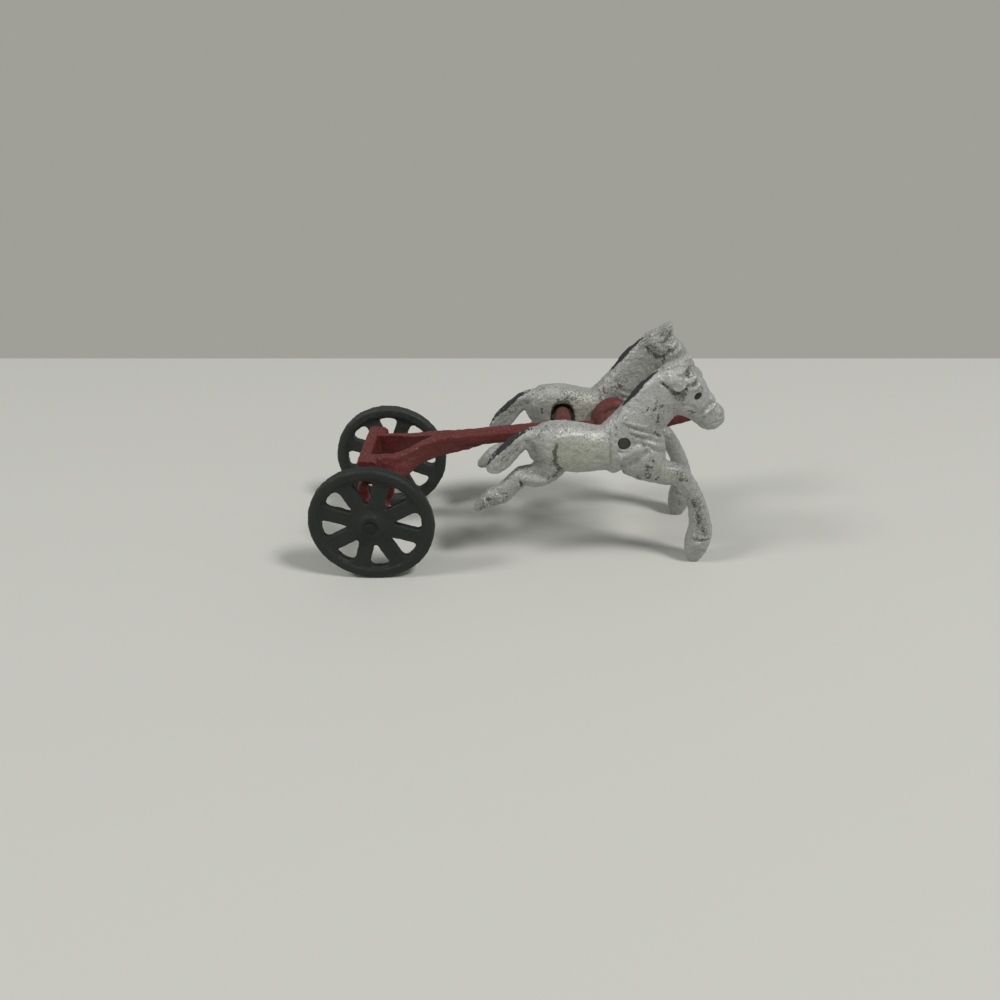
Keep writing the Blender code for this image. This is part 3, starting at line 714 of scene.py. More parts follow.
# A horse's relief: each stroke's path, reach and height, and where it works if not on the flanks.
HORSE_RELIEF = (
    # Ear: a flat leaf with a crease, over a round lobe with a deep groove below.
    ((13.4, 85.1, 16.0, 86.4, 18.1, 88.0, 19.7, 89.6), 0.7, 0.28),
    ((21.9, 89.7, 20.7, 86.2, 18.7, 84.2), 0.6, 0.6),
    ((22.2, 88.2, 21.9, 85.4, 21.1, 83.5), 0.9, -0.65), ((22.4, 86.8, 23.1, 84.8), 1.1, 0.6, Where.ALL),
    ((17.4, 86.0, 18.8, 86.8), 1.6, -0.2), ((14.6, 82.4, 15.8, 81.5, 17.6, 80.4), 2.4, 0.9),
    ((12.8, 80.5, 14.7, 79.3, 16.8, 77.4, 18.8, 77.0, 20.5, 78.1, 21.5, 80.0), 0.7, -1.0),
    ((12.3, 81.6, 13.4, 80.6, 15.3, 79.2, 17.2, 78.4, 18.9, 78.3, 20.1, 79.2), 0.55, 0.5),
    # Brow, eye socket and cheek.
    ((24.2, 82.2, 23.2, 81.4, 21.4, 80.2, 20.4, 79.4), 0.65, 0.6),
    ((24.6, 81.0, 24.2, 80.5, 22.4, 79.3), 0.6, -0.55),
    ((25.9, 79.9, 24.8, 78.9, 23.9, 78.1), 0.65, 0.5), ((25.8, 75.8), 2.2, -0.4),
    ((19.2, 72.4, 21.4, 70.4), 3.0, 0.35), ((20.7, 72.6, 23.2, 72.0, 25.2, 71.2), 0.7, -0.35),
    # Muzzle: noseband, nostril and mouth.
    ((32.4, 71.3, 30.1, 69.5, 29.2, 68.4), 0.75, 0.85),
    ((30.9, 72.3, 28.6, 70.1, 27.8, 68.8), 0.9, -0.5), ((31.8, 73.7, 32.7, 72.7), 1.1, 0.65, Where.ALL),
    ((33.6, 69.4, 34.4, 67.4), 1.2, 0.25), ((35.2, 67.0), 0.8, -0.55),
    ((36.6, 65.2, 35.3, 64.9, 32.2, 64.3), 0.45, -0.4),
    # Mane: its lower edge.
    ((1.4, 71.9, 5.9, 77.5, 10.6, 82.4, 13.8, 84.2), 0.75, 0.3),
    # Folds of the neck and the collar.
    ((-0.2, 65.9, 1.2, 65.2, 4.2, 65.0, 5.7, 64.4, 7.7, 64.1), 0.8, 0.4),
    ((0.3, 64.8, 2.8, 63.7, 5.8, 62.6, 9.5, 61.4), 0.55, -0.28),
    ((2.9, 62.3, 5.9, 61.3, 9.6, 60.3, 14.8, 58.0), 0.55, 0.3),
    ((1.9, 61.8, 4.5, 60.1, 8.3, 59.0, 12.3, 57.8, 14.6, 56.5), 0.45, -0.24),
    ((9.7, 57.5, 12.4, 56.3, 15.8, 54.4), 0.6, 0.35),
    ((9.2, 56.6, 10.9, 54.9, 14.0, 53.5, 15.9, 52.7), 0.5, -0.45), ((6.7, 57.5, 8.0, 56.7), 0.9, -0.35),
    # Shoulder: a bar like an upper arm, with a deep fold below it.
    ((-1.3, 51.8, 0.4, 52.8, 2.4, 54.2, 5.3, 55.6), 1.5, 1.0),
    ((0.4, 47.9, 2.8, 48.7, 5.1, 50.5, 7.0, 52.5, 8.6, 54.3), 1.25, -0.9),
    ((6.8, 51.0, 8.3, 52.1, 11.0, 53.3), 1.3, 0.5),
    ((-2.9, 58.4, -2.8, 56.8, -2.1, 55.0, -0.7, 54.0, 1.3, 54.2), 0.45, -0.4),
    # Girth strap.
    ((-5.6, 62.5, -5.6, 59.1, -5.3, 55.3, -4.8, 51.2, -4.3, 47.5), 0.42, -0.2),
    ((-4.5, 62.2, -4.3, 56.8, -3.8, 51.3, -3.4, 47.5), 0.6, 0.2),
    ((-3.5, 64.2, -3.6, 61.5, -3.2, 57.8), 0.42, -0.2),
    ((-6.6, 62.4, -6.4, 56.6, -5.9, 50.0), 0.6, 0.25),
    # The belly's edge rises before the girth and is notched behind the shoulder.
    ((-8.6, 44.0, -6.6, 44.2), 1.6, -0.45, Where.ALL), ((-2.6, 43.0), 1.2, 0.3, Where.ALL),
    ((0.3, 43.6, 0.5, 44.8), 0.9, -0.85, Where.ALL),
    # Haunch: the thigh stands proud of the flank, hollow behind and firm below.
    ((-25.3, 57.1, -26.1, 52.1, -24.5, 46.7, -22.1, 45.0), 0.9, -0.42),
    ((-30.0, 61.0, -29.3, 55.4, -28.0, 48.6), 2.6, 0.5),
    ((-36.0, 56.2, -33.4, 53.6, -31.6, 49.7), 1.9, -0.75),
    ((-37.9, 41.4, -33.6, 40.8, -29.7, 40.8), 1.2, 0.6),
    ((-37.9, 44.6, -33.6, 43.8, -30.4, 43.6), 1.1, -0.6),
    # Hock, fetlock and hoof of the hind legs.
    ((-39.0, 40.2, -38.3, 38.4), 0.6, -0.55), ((-39.5, 39.0, -41.8, 36.6, -43.0, 33.8), 0.6, 0.35),
    ((-48.2, 35.5, -47.0, 34.1, -44.6, 34.3), 0.6, -0.45), ((-49.4, 33.4, -47.2, 31.4), 1.5, 0.4),
    ((-52.8, 32.2, -51.0, 29.6, -49.2, 27.6), 0.6, -0.4),
    ((-58.0, 31.0, -55.6, 33.6), 2.0, -1.2, Where.ALL),
    ((-51.4, 26.2, -46.4, 28.0), 1.4, -0.6, Where.ALL),
    # Knee, fetlock and hoof of the forelegs.
    ((18.0, 45.4, 22.0, 44.4, 26.0, 41.2), 1.2, 0.3),
    ((30.4, 27.6, 31.4, 24.0, 33.4, 21.4), 1.0, -0.35),
    ((31.6, 14.4, 34.0, 13.4, 38.4, 13.6), 0.5, 0.45),
    ((31.0, 12.6, 33.8, 11.8, 38.0, 12.2), 0.6, -0.45), ((32.6, 9.6, 35.4, 8.0), 1.6, 0.3),
    # Tail: combed hair.
    ((-46.4, 49.0, -44.8, 50.6, -43.3, 52.3), 0.6, -0.4),
    ((-48.7, 46.5, -45.6, 49.3, -41.7, 54.0), 0.6, 0.35),
    ((-38.4, 55.6, -42.2, 51.2, -46.0, 46.6, -49.0, 44.2), 0.55, -0.35),
    ((-37.4, 57.6, -40.6, 55.0, -43.6, 51.0), 0.6, -0.25),
)

HORSE_STROKES = (
    *(Stroke(*row) for row in HORSE_RELIEF),
    # The poll between the ears, and a stud on the collar.
    Stroke((14.0, 84.7, 15.2, 85.4, 16.6, 86.6), 1.3, 0.55, Where.TOP, across=2.6),
    Stroke((4.9, 58.8), 1.1, 0.35, sharp=4.0),
    # The crest of the mane: a narrow strip, a little sunk between its edges, and swollen at mid-neck.
    Stroke(
        (-1.4, 69.8, 0.6, 72.4, 5.3, 78.3, 10.2, 83.4), 2.0, -0.2, Where.TOP,
        sharp=4.0, across=1.2, taper=0.4,
    ),
    Stroke((2.2, 73.6, 4.6, 76.8, 7.4, 80.0), 1.5, 0.45, Where.TOP, sharp=4.0, across=2.4, taper=0.6),
    # An older, yellower coat shows on the flank, the shoulder, the forearm and the shin.
    Stroke((-21.0, 54.0, -12.0, 54.5), 7.6, coat=Coat.WARM, strength=1.25, sharp=2.5),
    Stroke((-1.0, 49.0, 3.0, 47.0), 3.0, coat=Coat.WARM, strength=0.6),
    Stroke((14.5, 46.5, 23.5, 43.0), 3.0, coat=Coat.WARM),
    Stroke((30.0, 30.0, 34.0, 12.0), 3.0, coat=Coat.WARM, strength=0.3),
    # Black paint on the mane and the tail.
    *(
        Stroke(path, reach, 0.0, Where.TOP, Coat.BLACK, 1.0, 4.0, across, taper)
        for path, reach, across, taper in (
            ((-0.6, 70.8, 1.2, 73.2, 3.4, 76.0), 1.5, 1.7, 0.5),
            ((1.2, 73.2, 4.2, 76.9, 7.4, 80.6), 1.5, 2.3, 0.5),
            ((5.0, 78.0, 7.8, 81.0, 10.6, 83.6), 1.5, 1.6, 0.6),
            ((-34.8, 61.0, -40.2, 58.4, -43.6, 55.6, -47.0, 52.0, -50.0, 48.4, -51.8, 46.0), 1.2, 2.7, 0.55),
        )
    ),
)

# The wear on the near horse's near side, as the photographed toy has it.
NEAR_WEAR = Wear(
    worn=(
        ((22.0, 84.5, 24.5, 80.0), 2.2, 0.8), ((13.0, 73.0, 12.0, 66.0), 4.0, 0.5),
        ((35.5, 68.5), 2.4, 0.5), ((9.0, 48.0, 10.6, 43.4), 3.0, 0.5),
        ((22.0, 43.5, 26.0, 40.0), 2.6, 0.7), ((30.8, 30.0, 35.0, 15.0), 3.4, 1.0),
        ((-46.0, 49.0, -41.0, 54.0), 3.0, 0.6), ((-52.5, 30.0, -47.0, 32.5), 3.6, 1.0),
        ((-43.0, 36.0, -38.0, 39.0), 2.4, 0.6), ((-26.5, 52.0, -25.0, 45.0), 2.4, 0.9),
        ((-34.0, 62.0, -22.0, 64.0), 3.0, 0.55), ((4.0, 60.0, 1.0, 66.0), 3.4, 0.45),
    ),
    # Ridges rubbed light, several of them painted highlights: the glint along the upper flank and the bright
    # crest behind the ear.
    rubbed=(
        ((7.0, 79.6, 9.6, 81.8, 12.2, 82.8), 1.3, 0.9), ((15.0, 82.6, 18.6, 86.2), 1.7, 0.5),
        ((3.0, 70.0, 8.0, 75.0), 3.4, 0.3), ((4.0, 54.6, 8.6, 57.0), 1.6, 0.4),
        ((-24.8, 60.6, -20.3, 61.1, -16.2, 60.8), 0.8, 0.8), ((-11.6, 60.1, -7.9, 60.4), 0.8, 0.8),
        ((3.8, 77.3, 6.0, 77.8), 0.7, 0.6), ((31.2, 70.4, 29.6, 69.0), 0.5, 1.0),
        ((-38.5, 58.0, -34.0, 60.4), 1.2, 0.6), ((16.0, 45.6, 22.0, 45.0), 1.1, 0.3),
        ((7.0, 53.0, 10.5, 48.5), 2.6, 0.4), ((12.6, 76.6, 13.0, 73.6), 2.6, 0.3),
        ((-49.6, 44.8, -46.4, 47.8), 1.8, 0.6),
    ),
    # Painted shade: the hollow behind the haunch, the root of the tail and the top of the forearm.
    dusty=(
        ((-34.4, 55.4, -33.4, 52.0, -31.8, 48.0), 2.8, 0.95),
        ((-47.0, 45.6, -42.0, 50.0, -38.0, 54.0), 1.6, 0.25), ((15.0, 46.0, 24.0, 43.4), 2.8, 0.4),
    ),
    raised=(
        ((-24.6, 60.3, -19.8, 60.9, -15.4, 60.5), 0.55, 0.26),
    ),
    scratched=(
        ((12.8, 80.4, 14.7, 79.2), 0.4, 1.2), ((21.3, 83.5), 0.6, 1.2), ((21.6, 78.6), 0.6, 1.2),
        ((23.7, 80.4), 0.45, 1.2), ((26.9, 78.7), 0.35, 1.2), ((16.8, 71.0), 0.4, 1.2),
        ((11.0, 73.4, 11.5, 74.1), 0.28, 1.2), ((12.2, 71.7, 13.7, 72.1), 0.4, 1.3),
        ((11.9, 68.9, 11.8, 67.2, 11.8, 65.6), 0.42, 1.3),
        ((11.0, 61.5, 12.4, 60.6, 13.8, 59.3), 0.42, 1.3), ((23.0, 70.3, 23.9, 69.9), 0.35, 1.2),
        ((24.5, 69.5, 25.4, 69.2), 0.32, 1.2), ((5.9, 69.8, 6.3, 69.6), 0.38, 1.2),
        ((7.2, 70.1, 8.2, 71.6), 0.32, 1.2), ((9.8, 70.5, 10.5, 71.3), 0.42, 1.3),
        ((10.4, 72.4, 10.8, 73.4), 0.28, 1.2), ((-3.2, 63.3, -2.8, 63.2), 0.32, 1.2),
        ((9.2, 43.7, 9.8, 44.6, 11.2, 43.9, 11.1, 42.4, 9.6, 42.2), 0.42, 0.95),
        ((13.5, 41.5, 14.4, 42.3), 0.45, 1.2), ((11.2, 50.8, 11.9, 49.2), 0.42, 0.85),
        ((9.8, 50.3, 10.7, 51.1), 0.28, 0.9), ((22.9, 40.7, 24.0, 40.7), 0.5, 1.2),
        ((25.2, 40.0, 25.9, 39.7), 0.4, 1.2), ((-28.6, 41.8, -27.9, 43.1), 0.5, 1.0),
        ((-31.9, 60.0), 0.35, 1.2), ((-13.7, 55.0), 0.35, 1.2), ((-29.4, 62.9), 0.35, 1.2),
        ((-36.9, 57.0), 0.45, 1.2), ((-40.0, 53.3), 0.45, 1.2), ((-39.0, 40.2, -38.3, 38.4), 0.5, 1.2),
        ((-52.8, 31.7, -51.0, 32.0), 0.6, 0.95), ((-49.5, 28.5, -49.0, 28.8), 0.4, 1.2),
        ((32.6, 13.0, 37.6, 12.6), 0.32, 0.8),
    ),
    smudged=(
        ((17.1, 76.9, 19.1, 76.6, 20.8, 76.7), 1.1, 0.95), ((19.1, 75.8, 17.7, 74.7), 0.8, 0.8),
        ((20.1, 75.3, 20.2, 74.1), 0.8, 0.75), ((22.1, 86.0, 21.6, 84.4), 0.9, 0.62),
        ((6.9, 57.4, 8.0, 56.8), 0.8, 0.7), ((9.0, 47.7, 11.0, 47.6), 0.7, 0.85),
        ((9.9, 46.1, 9.4, 48.3), 0.8, 0.85), ((5.9, 43.6, 7.8, 41.0), 0.7, 0.75),
        ((-25.5, 56.7, -26.2, 54.3, -25.4, 52.1, -26.0, 50.5), 0.85, 0.9),
        ((-26.0, 50.5, -24.1, 46.7), 1.1, 0.72), ((-25.9, 43.4, -24.6, 45.3, -23.3, 46.6), 1.3, 0.78),
        ((-46.4, 49.0, -44.8, 50.6), 0.5, 0.75), ((-55.1, 27.0, -53.1, 28.8), 0.6, 0.8),
        ((29.4, 31.0, 30.6, 27.4), 0.9, 0.7), ((32.0, 24.0, 33.0, 20.4), 1.1, 0.78),
        ((34.4, 18.0, 35.4, 15.6), 1.0, 0.74),
    ),
)

# The same for the far horse's near side.
FAR_WEAR = Wear(
    worn=(
        ((13.0, 82.0, 17.0, 79.5, 21.0, 80.5), 4.2, 0.95), ((19.0, 88.0, 22.0, 83.0), 2.8, 0.9),
        ((24.0, 79.0, 27.0, 74.0), 3.0, 0.8), ((2.0, 66.5, 0.0, 62.0), 3.4, 0.8),
        ((-20.0, 62.0, -14.0, 60.0), 3.2, 0.8), ((-46.0, 52.0, -41.0, 57.0), 3.2, 0.8),
        ((-12.0, 63.0, -4.0, 64.0), 3.4, 0.5),
    ),
    # A painted highlight on the rump.
    rubbed=(
        ((-27.0, 63.0, -22.0, 62.4), 1.0, 0.4),
    ),
    # A painted shadow on the forearm, where the near horse shades it.
    dusty=(
        ((17.0, 50.0, 27.0, 38.0), 3.4, 0.7),
    ),
    scratched=(
        ((13.8, 82.1, 15.5, 81.2), 0.5, 1.0), ((20.5, 79.8, 22.9, 80.8), 0.4, 0.9),
        ((21.9, 78.8, 23.6, 80.0), 0.35, 0.8), ((16.0, 82.9, 17.5, 83.0), 0.4, 0.95),
        ((18.5, 86.8, 17.9, 85.7), 0.45, 0.9), ((21.7, 87.6, 21.2, 86.4), 0.4, 0.9),
        ((13.8, 84.8), 0.4, 1.2), ((19.6, 84.6), 0.45, 1.2), ((1.9, 66.1, 2.9, 64.8), 0.55, 0.95),
        ((1.6, 65.2), 0.4, 1.2), ((-2.2, 62.4), 0.4, 1.2), ((-5.2, 60.0), 0.6, 1.1),
        # A painted shadow: the dark arch round the slot, where the pole's arm enters the flank.
        ((-25.0, 51.1, -24.9, 56.4, -22.6, 59.3, -18.6, 58.7, -16.5, 52.0), 0.75, 1.0),
        ((-17.9, 59.5, -15.2, 59.7), 0.5, 0.75), ((-29.9, 55.9, -29.3, 54.0), 0.5, 1.1),
        ((-30.3, 62.7, -28.9, 63.1), 0.5, 1.0), ((-33.3, 60.8), 0.45, 1.2), ((-45.4, 53.4), 0.5, 1.2),
        ((-41.5, 57.8), 0.45, 1.2),
    ),
    smudged=(
        ((12.5, 81.4, 13.9, 78.9, 16.4, 76.8), 0.9, 0.7), ((18.3, 83.4, 20.7, 84.0), 0.5, 0.85),
        ((18.9, 79.1, 19.7, 76.9, 19.2, 75.1), 0.6, 0.9), ((-20.4, 59.5, -18.7, 60.6), 0.8, 1.0),
        ((-4.2, 63.8, -3.4, 62.3), 0.7, 0.75), ((-48.2, 51.6, -45.6, 54.0), 0.6, 0.75),
        ((20.0, 44.0, 24.0, 41.0), 0.6, 0.6), ((33.0, 10.0, 34.0, 6.0), 0.8, 0.6),
    ),
)


@dataclass
class Horse:
    """One horse casting with its eyes.

    Attributes:
        pin_x: Where the cross pin is, in mm ahead of the frame's origin.
        spacing: From one horse's middle plane to the other's, in mm.
        ragged: How far a painted line's edge strays, in mm.
        inner_relief: How deep the relief is on the inner flank, as a share of the outer.
        slot_at: The middle of the inner flank's slot, from the pin's place and the floor.
    """

    side: Side
    paint: Material
    eye_paint: Material
    front: Wear
    back: Wear
    pin_x: float = 41.645
    pin_z: float = 57.6
    spacing: float = 37.5
    grain: float = 0.30
    rounds: int = 5
    waves: float = 0.16
    skin_seed: int = 11
    edge_seed: int = 73
    ragged: float = 0.26
    inner_relief: float = 0.5
    slot_at: Point = (-20.9, 53.5)
    slot_reach: float = 7.5
    bore_reach: float = 2.9
    eye_at: Point = (25.8, 75.7)
    eye_length: float = 3.4
    eye_height: float = 2.6
    eye_dome: float = 0.55
    eye_sunk: float = 0.15
    eye_turn_deg: float = 34.0

    @property
    def body(self) -> str:
        """Return the name of the frame's body that the horse rides on."""
        return f"horse_{self.side.word}"

    @property
    def node(self) -> str:
        """Return the name of the frame's solid that the horse stands for."""
        return f"{self.side.word}_horse"

    @property
    def middle(self) -> float:
        """Return Y of the horse's middle plane, in mm."""
        return self.side.value * self.spacing / 2.0

    def build(self, frame: dict) -> list[Object]:
        """Make the horse and its eyes.


        Returns:
            The finished pieces.
        """
        casting = node_copy(frame, self.node, f"{self.node}_casting")
        recast(casting, self.grain, self.rounds, self.waves, self.skin_seed + self.side.value)
        self.carve(casting)
        casting.data.materials.append(self.paint)
        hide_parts(self.node)
        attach(casting, self.body)
        return [casting, self.eye(casting, -1), self.eye(casting, 1)]

    def carve(self, casting: Object) -> None:
        """Work every stroke into the casting's skin and its painted masks.

        Args:
            casting: The recast horse.
        """
        points, normals = read_skin(casting)
        x = points[:, 0] / MM - self.pin_x
        y = points[:, 1] / MM - self.middle
        z = points[:, 2] / MM
        inward = -self.side.value * y
        weights = {
            Where.FLANKS: rise(np.abs(normals[:, 1]), 0.15, 0.6),
            Where.FRONT: rise(-normals[:, 1], 0.02, 0.27),
            Where.BACK: rise(normals[:, 1], 0.02, 0.27),
            Where.TOP: rise(normals[:, 2], -0.05, 0.25),
            Where.ALL: np.ones(len(points)),
        }
        # Painted lines have ragged edges, so they are drawn in slightly shaken coordinates.
        edges = read_edges(casting)
        rng = np.random.default_rng(self.edge_seed + self.side.value)
        shake = [spread(rng.normal(size=len(points)), edges, 2) for _ in range(2)]
        shaken = [line + self.ragged * part / part.std() for line, part in zip((x, z), shake)]
        # The relief is shallower on the inner flank, which faces the pole.
        depth = 1.0 - (1.0 - self.inner_relief) * rise(inward, -1.0, 1.0)
        masks = {coat: np.zeros(len(points)) for coat in Coat}
        move = np.zeros(len(points))
        for stroke in (*HORSE_STROKES, *self.front.strokes(Where.FRONT), *self.back.strokes(Where.BACK)):
            plane = (x, z) if stroke.coat is None else shaken
            distance, along = distance_to_path(*plane, stroke.path)
            width = 1.0 - stroke.taper * (2.0 * along - 1.0) ** 2
            near = bell(distance, stroke.reach * width, stroke.sharp) * weights[stroke.where]
            near *= rise(stroke.across * width - np.abs(y), -0.25, 0.25)
            if stroke.coat is not None:
                masks[stroke.coat] = np.maximum(masks[stroke.coat], near * stroke.strength)
            move += near * stroke.height * (depth if stroke.where is Where.FLANKS else 1.0)
        # The slot in the inner flank and the pin's bore keep their shape.
        from_slot = np.hypot(x - self.slot_at[0], (z - self.slot_at[1]) * 0.8)
        guard = 1.0 - rise(inward, 3.5, 5.0) * bell(from_slot, self.slot_reach, 6.0)
        guard *= 1.0 - bell(np.hypot(x, z - self.pin_z), self.bore_reach, 8.0)
        write_skin(casting, points + normals * (move * guard * MM)[:, None])
        weather(casting, 16, (0.16, 0.42), (0.02, 0.26))
        for coat, values in masks.items():
            if values.any():
                write_mask(casting, coat, values)

    def eye(self, casting: Object, flank: int) -> Object:
        """Make one eye, a low oval dome seated on the skin.

        Args:
            casting: The carved horse.
            flank: The sign of Y of the cheek that it sits on.

        Returns:
            The eye.
        """
        inwards = Vector((0.0, -flank, 0.0))
        start = Vector((self.eye_at[0] + self.pin_x, self.middle + flank * 20.0, self.eye_at[1])) * MM
        hit, spot, normal, _ = casting.ray_cast(start, inwards)
        if not hit:
            raise RuntimeError(f"{self.node} has no cheek for its eye")
        bpy.ops.mesh.primitive_uv_sphere_add(segments=32, ring_count=16, radius=MM, location=(0, 0, 0))
        eye = bpy.context.active_object
        eye.name = f"{self.node}_eye_{'left' if flank > 0 else 'right'}"
        eye.scale = (self.eye_length / 2.0, self.eye_height / 2.0, self.eye_dome)
        eye.rotation_euler = (0.0, 0.0, -flank * math.radians(self.eye_turn_deg))
        bake_place(eye)
        turn = normal.to_track_quat("Z", "Y").to_matrix().to_4x4()
        eye.data.transform(Matrix.Translation(spot - normal * self.eye_sunk * MM) @ turn)
        eye.data.shade_smooth()
        eye.data.materials.append(self.eye_paint)
        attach(eye, self.body)
        return eye


@dataclass
class Wheel:
    """One spoked wheel casting.

    Attributes:
        windows: Between which distances from the axle the windows' walls lie, in mm.
        window_draft: How far the windows' walls are filed back, in mm.
    """

    side: Side
    paint: Material
    grain: float = 0.36
    rounds: int = 6
    waves: float = 0.15
    skin_seed: int = 31
    axle_at: Point = (-56.155, 25.0)
    windows: Point = (8.5, 20.9)
    window_draft: float = 0.2

    def build(self, frame: dict) -> list[Object]:
        """Make the wheel.


        Returns:
            The finished pieces.
        """
        word = self.side.word
        casting = node_copy(frame, f"{word}_wheel", f"{word}_wheel_casting")
        recast(casting, self.grain, self.rounds, self.waves, self.skin_seed + self.side.value)
        self.carve(casting)
        weather(casting, 14, (0.10, 0.30), (0.03, 0.22))
        casting.data.materials.append(self.paint)
        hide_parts(f"{word}_wheel")
        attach(casting, f"wheel_{word}")
        return [casting]

    def carve(self, casting: Object) -> None:
        """Open the windows a little, as the pattern was filed to let it leave the sand.

        Args:
            casting: The recast wheel.
        """
        points, normals = read_skin(casting)
        inner, outer = self.windows
        from_axle = np.hypot(points[:, 0] / MM - self.axle_at[0], points[:, 2] / MM - self.axle_at[1])
        walls = rise(np.hypot(normals[:, 0], normals[:, 2]), 0.45, 0.8)
        walls *= rise(from_axle, inner, inner + 2.0) * rise(from_axle, outer, outer - 0.6)
        write_skin(casting, points - normals * (walls * self.window_draft * MM)[:, None])


@dataclass
class Limber:
    """The pole with its frame, one casting.

    Lengths along the pole are in mm ahead of the axle.

    Attributes:
        fin_height: How far the bar's parting line stands up, in mm.
        seam_height: How far the pole's parting line stands out, in mm.
        hump_fold: The fold between the hump's two halves, as places along and across the pole.
        hump_sunk: How far the hump's near half sits lower, in mm.
        fold_lip: How far the far half stands up beside the fold, in mm.
    """

    paint: Material
    axle_x: float = -56.155
    grain: float = 0.38
    rounds: int = 4
    waves: float = 0.18
    skin_seed: int = 57
    fin_height: float = 0.32
    seam_height: float = 0.12
    groove_depth: float = 0.45
    hump_fold: Path = (93.0, -1.3, 94.0, -0.6, 95.4, 0.0, 97.0, 0.1, 99.0, -0.2, 103.0, -0.9)
    hump_sunk: float = 0.7
    fold_depth: float = 0.9
    fold_lip: float = 0.4

    def build(self, frame: dict) -> list[Object]:
        """Make the pole.


        Returns:
            The finished pieces.
        """
        casting = node_copy(frame, "pole_frame", "pole_frame_casting")
        recast(casting, self.grain, self.rounds, self.waves, self.skin_seed)
        self.carve(casting)
        casting.data.materials.append(self.paint)
        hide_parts("pole_frame")
        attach(casting, "limber")
        return [casting]

    def carve(self, casting: Object) -> None:
        """Raise the parting lines of the mould, groove the pole's back and fold the hump.

        Args:
            casting: The recast pole.
        """
        points, normals = read_skin(casting)
        x = points[:, 0] / MM - self.axle_x
        y = points[:, 1] / MM
        z = points[:, 2] / MM
        move = self.fin_height * bell(y, 0.3) * rise(x, -7.0, -6.0) * rise(x, 1.0, -1.0)
        # The pole's parting line climbs a little towards its front.
        seam_z = 48.2 + 2.6 * rise(x, 30.0, 90.0)
        pole_side = rise(np.abs(normals[:, 1]), 0.3, 0.8) * rise(x, 30.0, 34.0) * rise(x, 86.0, 82.0)
        move += self.seam_height * bell(z - seam_z, 0.4) * pole_side
        # The two walls leave a shallow groove where they run together on the pole's back.
        groove = bell(y, 0.5 + 0.06 * np.clip(44.0 - x, 0.0, 20.0)) * rise(normals[:, 2], 0.1, 0.6)
        move -= self.groove_depth * groove * rise(x, 22.0, 26.0) * rise(x, 46.0, 32.0)
        # The hump's near half sits lower than its far half, with a fold between them.
        hump = rise(x, 88.0, 91.0) * rise(x, 108.0, 104.0) * rise(z, 55.0, 58.0)
        fold, _ = distance_to_path(x, y, self.hump_fold)
        fold_y = np.interp(x, self.hump_fold[::2], self.hump_fold[1::2])
        lower = hump * rise(fold_y - y, 0.0, 1.4) * rise(x, 91.5, 94.5)
        move -= self.hump_sunk * lower + self.fold_depth * hump * bell(fold, 0.7)
        move += self.fold_lip * hump * bell(y - fold_y - 2.4, 1.6)
        write_skin(casting, points + normals * (move * MM)[:, None])
        weather(casting, 14, (0.12, 0.40), (0.03, 0.30))
        # A painted shade darkens the fold between the hump's two halves.
        write_mask(casting, Coat.GRIME, 1.7 * hump * bell(fold, 0.85))
        # A painted shade browns the side arms in their slots and the hump's lowered half, and a painted
        # highlight lightens the hump's crown.
        arm = bell(x - 76.9, 4.2, 8.0) * rise(np.abs(y), 3.6, 4.6)
        write_mask(casting, Coat.WARM, np.maximum(arm, 0.7 * lower))
        write_mask(casting, Coat.RIDGE, hump * bell(np.hypot(x - 99.3, y - 3.8), 2.6, 4.0))


@dataclass
class Rod:
    """A steel rod, which keeps the shape that it has in the frame."""

    node: str
    steel: Material

    def build(self, frame: dict) -> list[Object]:
        """Dress the rod.


        Returns:
            The finished pieces.
        """
        rod = frame["nodes"][self.node]
        rod.data.materials.clear()
        rod.data.materials.append(self.steel)
        return [rod]


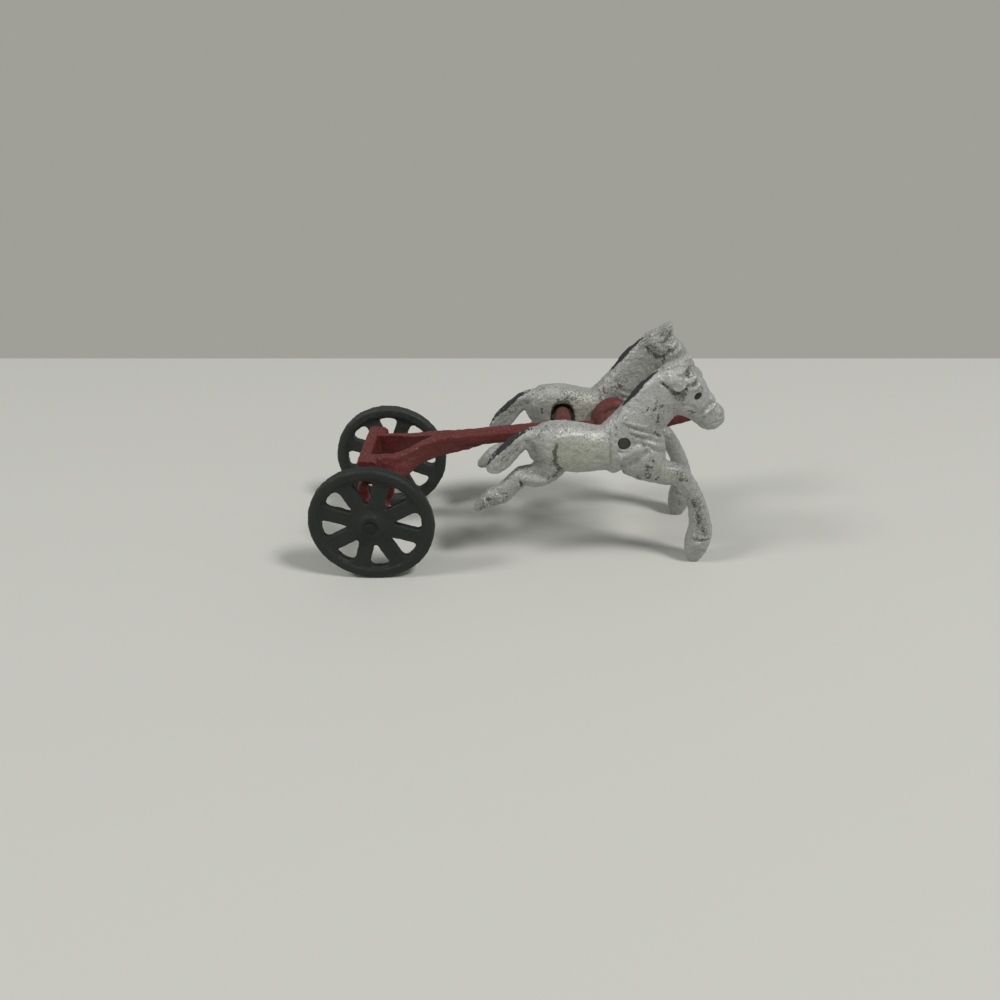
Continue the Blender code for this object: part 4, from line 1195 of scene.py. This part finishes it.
@dataclass
class Studio:
    """Tabletop, backdrop, soft lights and the camera.

    Attributes:
        table_depth: Y of the tabletop's far edge, in metres.
        edge_turn_deg: How far that edge is turned from level in the picture.
        lamps: Each lamp's name, its place and size in metres, and its watts.
    """

    table_colour: str = "#c8c8c1"
    backdrop_colour: str = "#a09f98"
    table_depth: float = 0.2284
    edge_turn_deg: float = -1.565
    room_colour: tuple[float, ...] = (0.97, 0.98, 0.97, 1.0)
    room_strength: float = 0.30
    lamps: tuple[tuple, ...] = (
        ("right", (0.90, -0.60, 1.54), 0.32, 18.6),
        ("left", (-1.30, -0.44, 1.40), 0.42, 12.4),
    )
    aim: tuple[float, float, float] = (0.02, 0.0, 0.04)
    picture_px: float = 1000.0
    focal_px: float = 750.0
    sensor_mm: float = 36.0
    pitch_deg: float = 30.5
    roll_deg: float = -1.04
    yaw_deg: float = 1.45
    camera_mm: tuple[float, float, float] = (1.1, -278.9, 182.9)

    def build(self) -> None:
        """Make the tabletop, the backdrop, the lights and the camera."""
        self.plane("tabletop", -4.0, self.table_depth, self.table_paint())
        self.plane("backdrop", self.table_depth, 6.0, self.backdrop_paint())
        self.lights()
        self.camera()

    def plane(self, name: str, near: float, far: float, material: Material) -> None:
        """Lay a level plane across the whole view.

        Args:
            name: The plane's name.
            near: Y of its near edge, in metres.
            far: Y of its far edge, in metres.
            material: What it is made of.
        """
        turn = math.radians(self.edge_turn_deg)
        middle = (near + far) / 2.0 - self.table_depth
        place = (-math.sin(turn) * middle, self.table_depth + math.cos(turn) * middle, 0.0)
        bpy.ops.mesh.primitive_plane_add(size=1.0, location=place, rotation=(0.0, 0.0, turn))
        plane = bpy.context.active_object
        plane.name = name
        plane.scale = (8.0, far - near, 1.0)
        bake_place(plane)
        plane.data.materials.append(material)

    def table_paint(self) -> Material:
        """Make the tabletop's plain pale coat.

        Returns:
            The material.
        """
        material, shader = new_material("pale_painted_tabletop")
        shader.inputs["Base Color"].default_value = linear(self.table_colour)
        shader.inputs["Roughness"].default_value = 0.8
        shader.inputs["Specular IOR Level"].default_value = 0.2
        return material

    def show_flat(self, tree: NodeTree, lit: Field, flat_kind: str, end_kind: str) -> None:
        """Show the camera the backdrop's flat colour, and let light see what is really there.

        Args:
            tree: A node tree.
            lit: The shader that light sees.
            flat_kind: The kind of node that glows evenly in this tree.
            end_kind: The kind of node that ends this tree.
        """
        seen = add_node(tree, "LightPath", output="Is Camera Ray")
        flat = add_node(tree, flat_kind, {"Color": linear(self.backdrop_colour), "Strength": 1.0})
        add_node(tree, end_kind, {"Surface": add_node(tree, "MixShader", (seen, lit, flat))})

    def backdrop_paint(self) -> Material:
        """Make a flat grey that the camera sees even, however far it runs.

        Returns:
            The material.
        """
        material, _ = new_material("grey_paper_backdrop")
        tree = material.node_tree
        tree.nodes.clear()
        paper = add_node(tree, "BsdfDiffuse", {"Color": linear(self.backdrop_colour)})
        self.show_flat(tree, paper, "Emission", "OutputMaterial")
        return material

    def lights(self) -> None:
        """Hang two soft lamps over the table's front corners, in a pale room."""
        world = bpy.data.worlds.new("room")
        world.use_nodes = True
        tree = world.node_tree
        tree.nodes.clear()
        room = add_node(tree, "Background", {"Color": self.room_colour, "Strength": self.room_strength})
        self.show_flat(tree, room, "Background", "OutputWorld")
        bpy.context.scene.world = world
        for name, place, size, watts in self.lamps:
            lamp = bpy.data.lights.new(name, "AREA")
            lamp.size = size
            lamp.energy = watts
            item = bpy.data.objects.new(name, lamp)
            item.location = place
            towards = Vector(self.aim) - Vector(place)
            item.rotation_euler = towards.to_track_quat("-Z", "Y").to_euler()
            bpy.context.scene.collection.objects.link(item)

    def camera(self) -> None:
        """Place the camera as the photograph's was."""
        lens = bpy.data.cameras.new("camera")
        lens.sensor_fit = "HORIZONTAL"
        lens.sensor_width = self.sensor_mm
        lens.lens = self.sensor_mm * self.focal_px / self.picture_px
        lens.clip_start = 0.01
        camera = bpy.data.objects.new("camera", lens)
        pose = Matrix.Translation(Vector(self.camera_mm) * MM)
        for degrees, axis in ((self.yaw_deg, "Z"), (90.0 - self.pitch_deg, "X"), (self.roll_deg, "Z")):
            pose @= Matrix.Rotation(math.radians(degrees), 4, axis)
        camera.matrix_world = pose
        bpy.context.scene.collection.objects.link(camera)
        bpy.context.scene.camera = camera


def main() -> None:
    """Build the toy and its studio."""
    logging.basicConfig(level=logging.INFO, format="%(message)s")
    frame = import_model()
    bpy.context.scene.view_settings.view_transform = "Standard"
    enamel = ENAMEL.make()
    assemblies = [
        Limber(paint=OXBLOOD.make()),
        Rod(node="cross_pin", steel=RIVET_STEEL.make()),
        Rod(node="axle", steel=AXLE_STEEL.make()),
        Wheel(side=Side.NEAR, paint=BLACK.make()),
        Wheel(side=Side.FAR, paint=LIGHTENED_BLACK.make()),
        Horse(side=Side.NEAR, paint=SILVER.make(), eye_paint=enamel, front=NEAR_WEAR, back=FAR_WEAR),
        Horse(side=Side.FAR, paint=SHADED_SILVER.make(), eye_paint=enamel, front=FAR_WEAR, back=NEAR_WEAR),
    ]
    for assembly in assemblies:
        for piece in assembly.build(frame):
            LOG.info("%s: %s, %d faces", type(assembly).__name__, piece.name, len(piece.data.polygons))
    Studio().build()


if __name__ == "__main__":
    main()
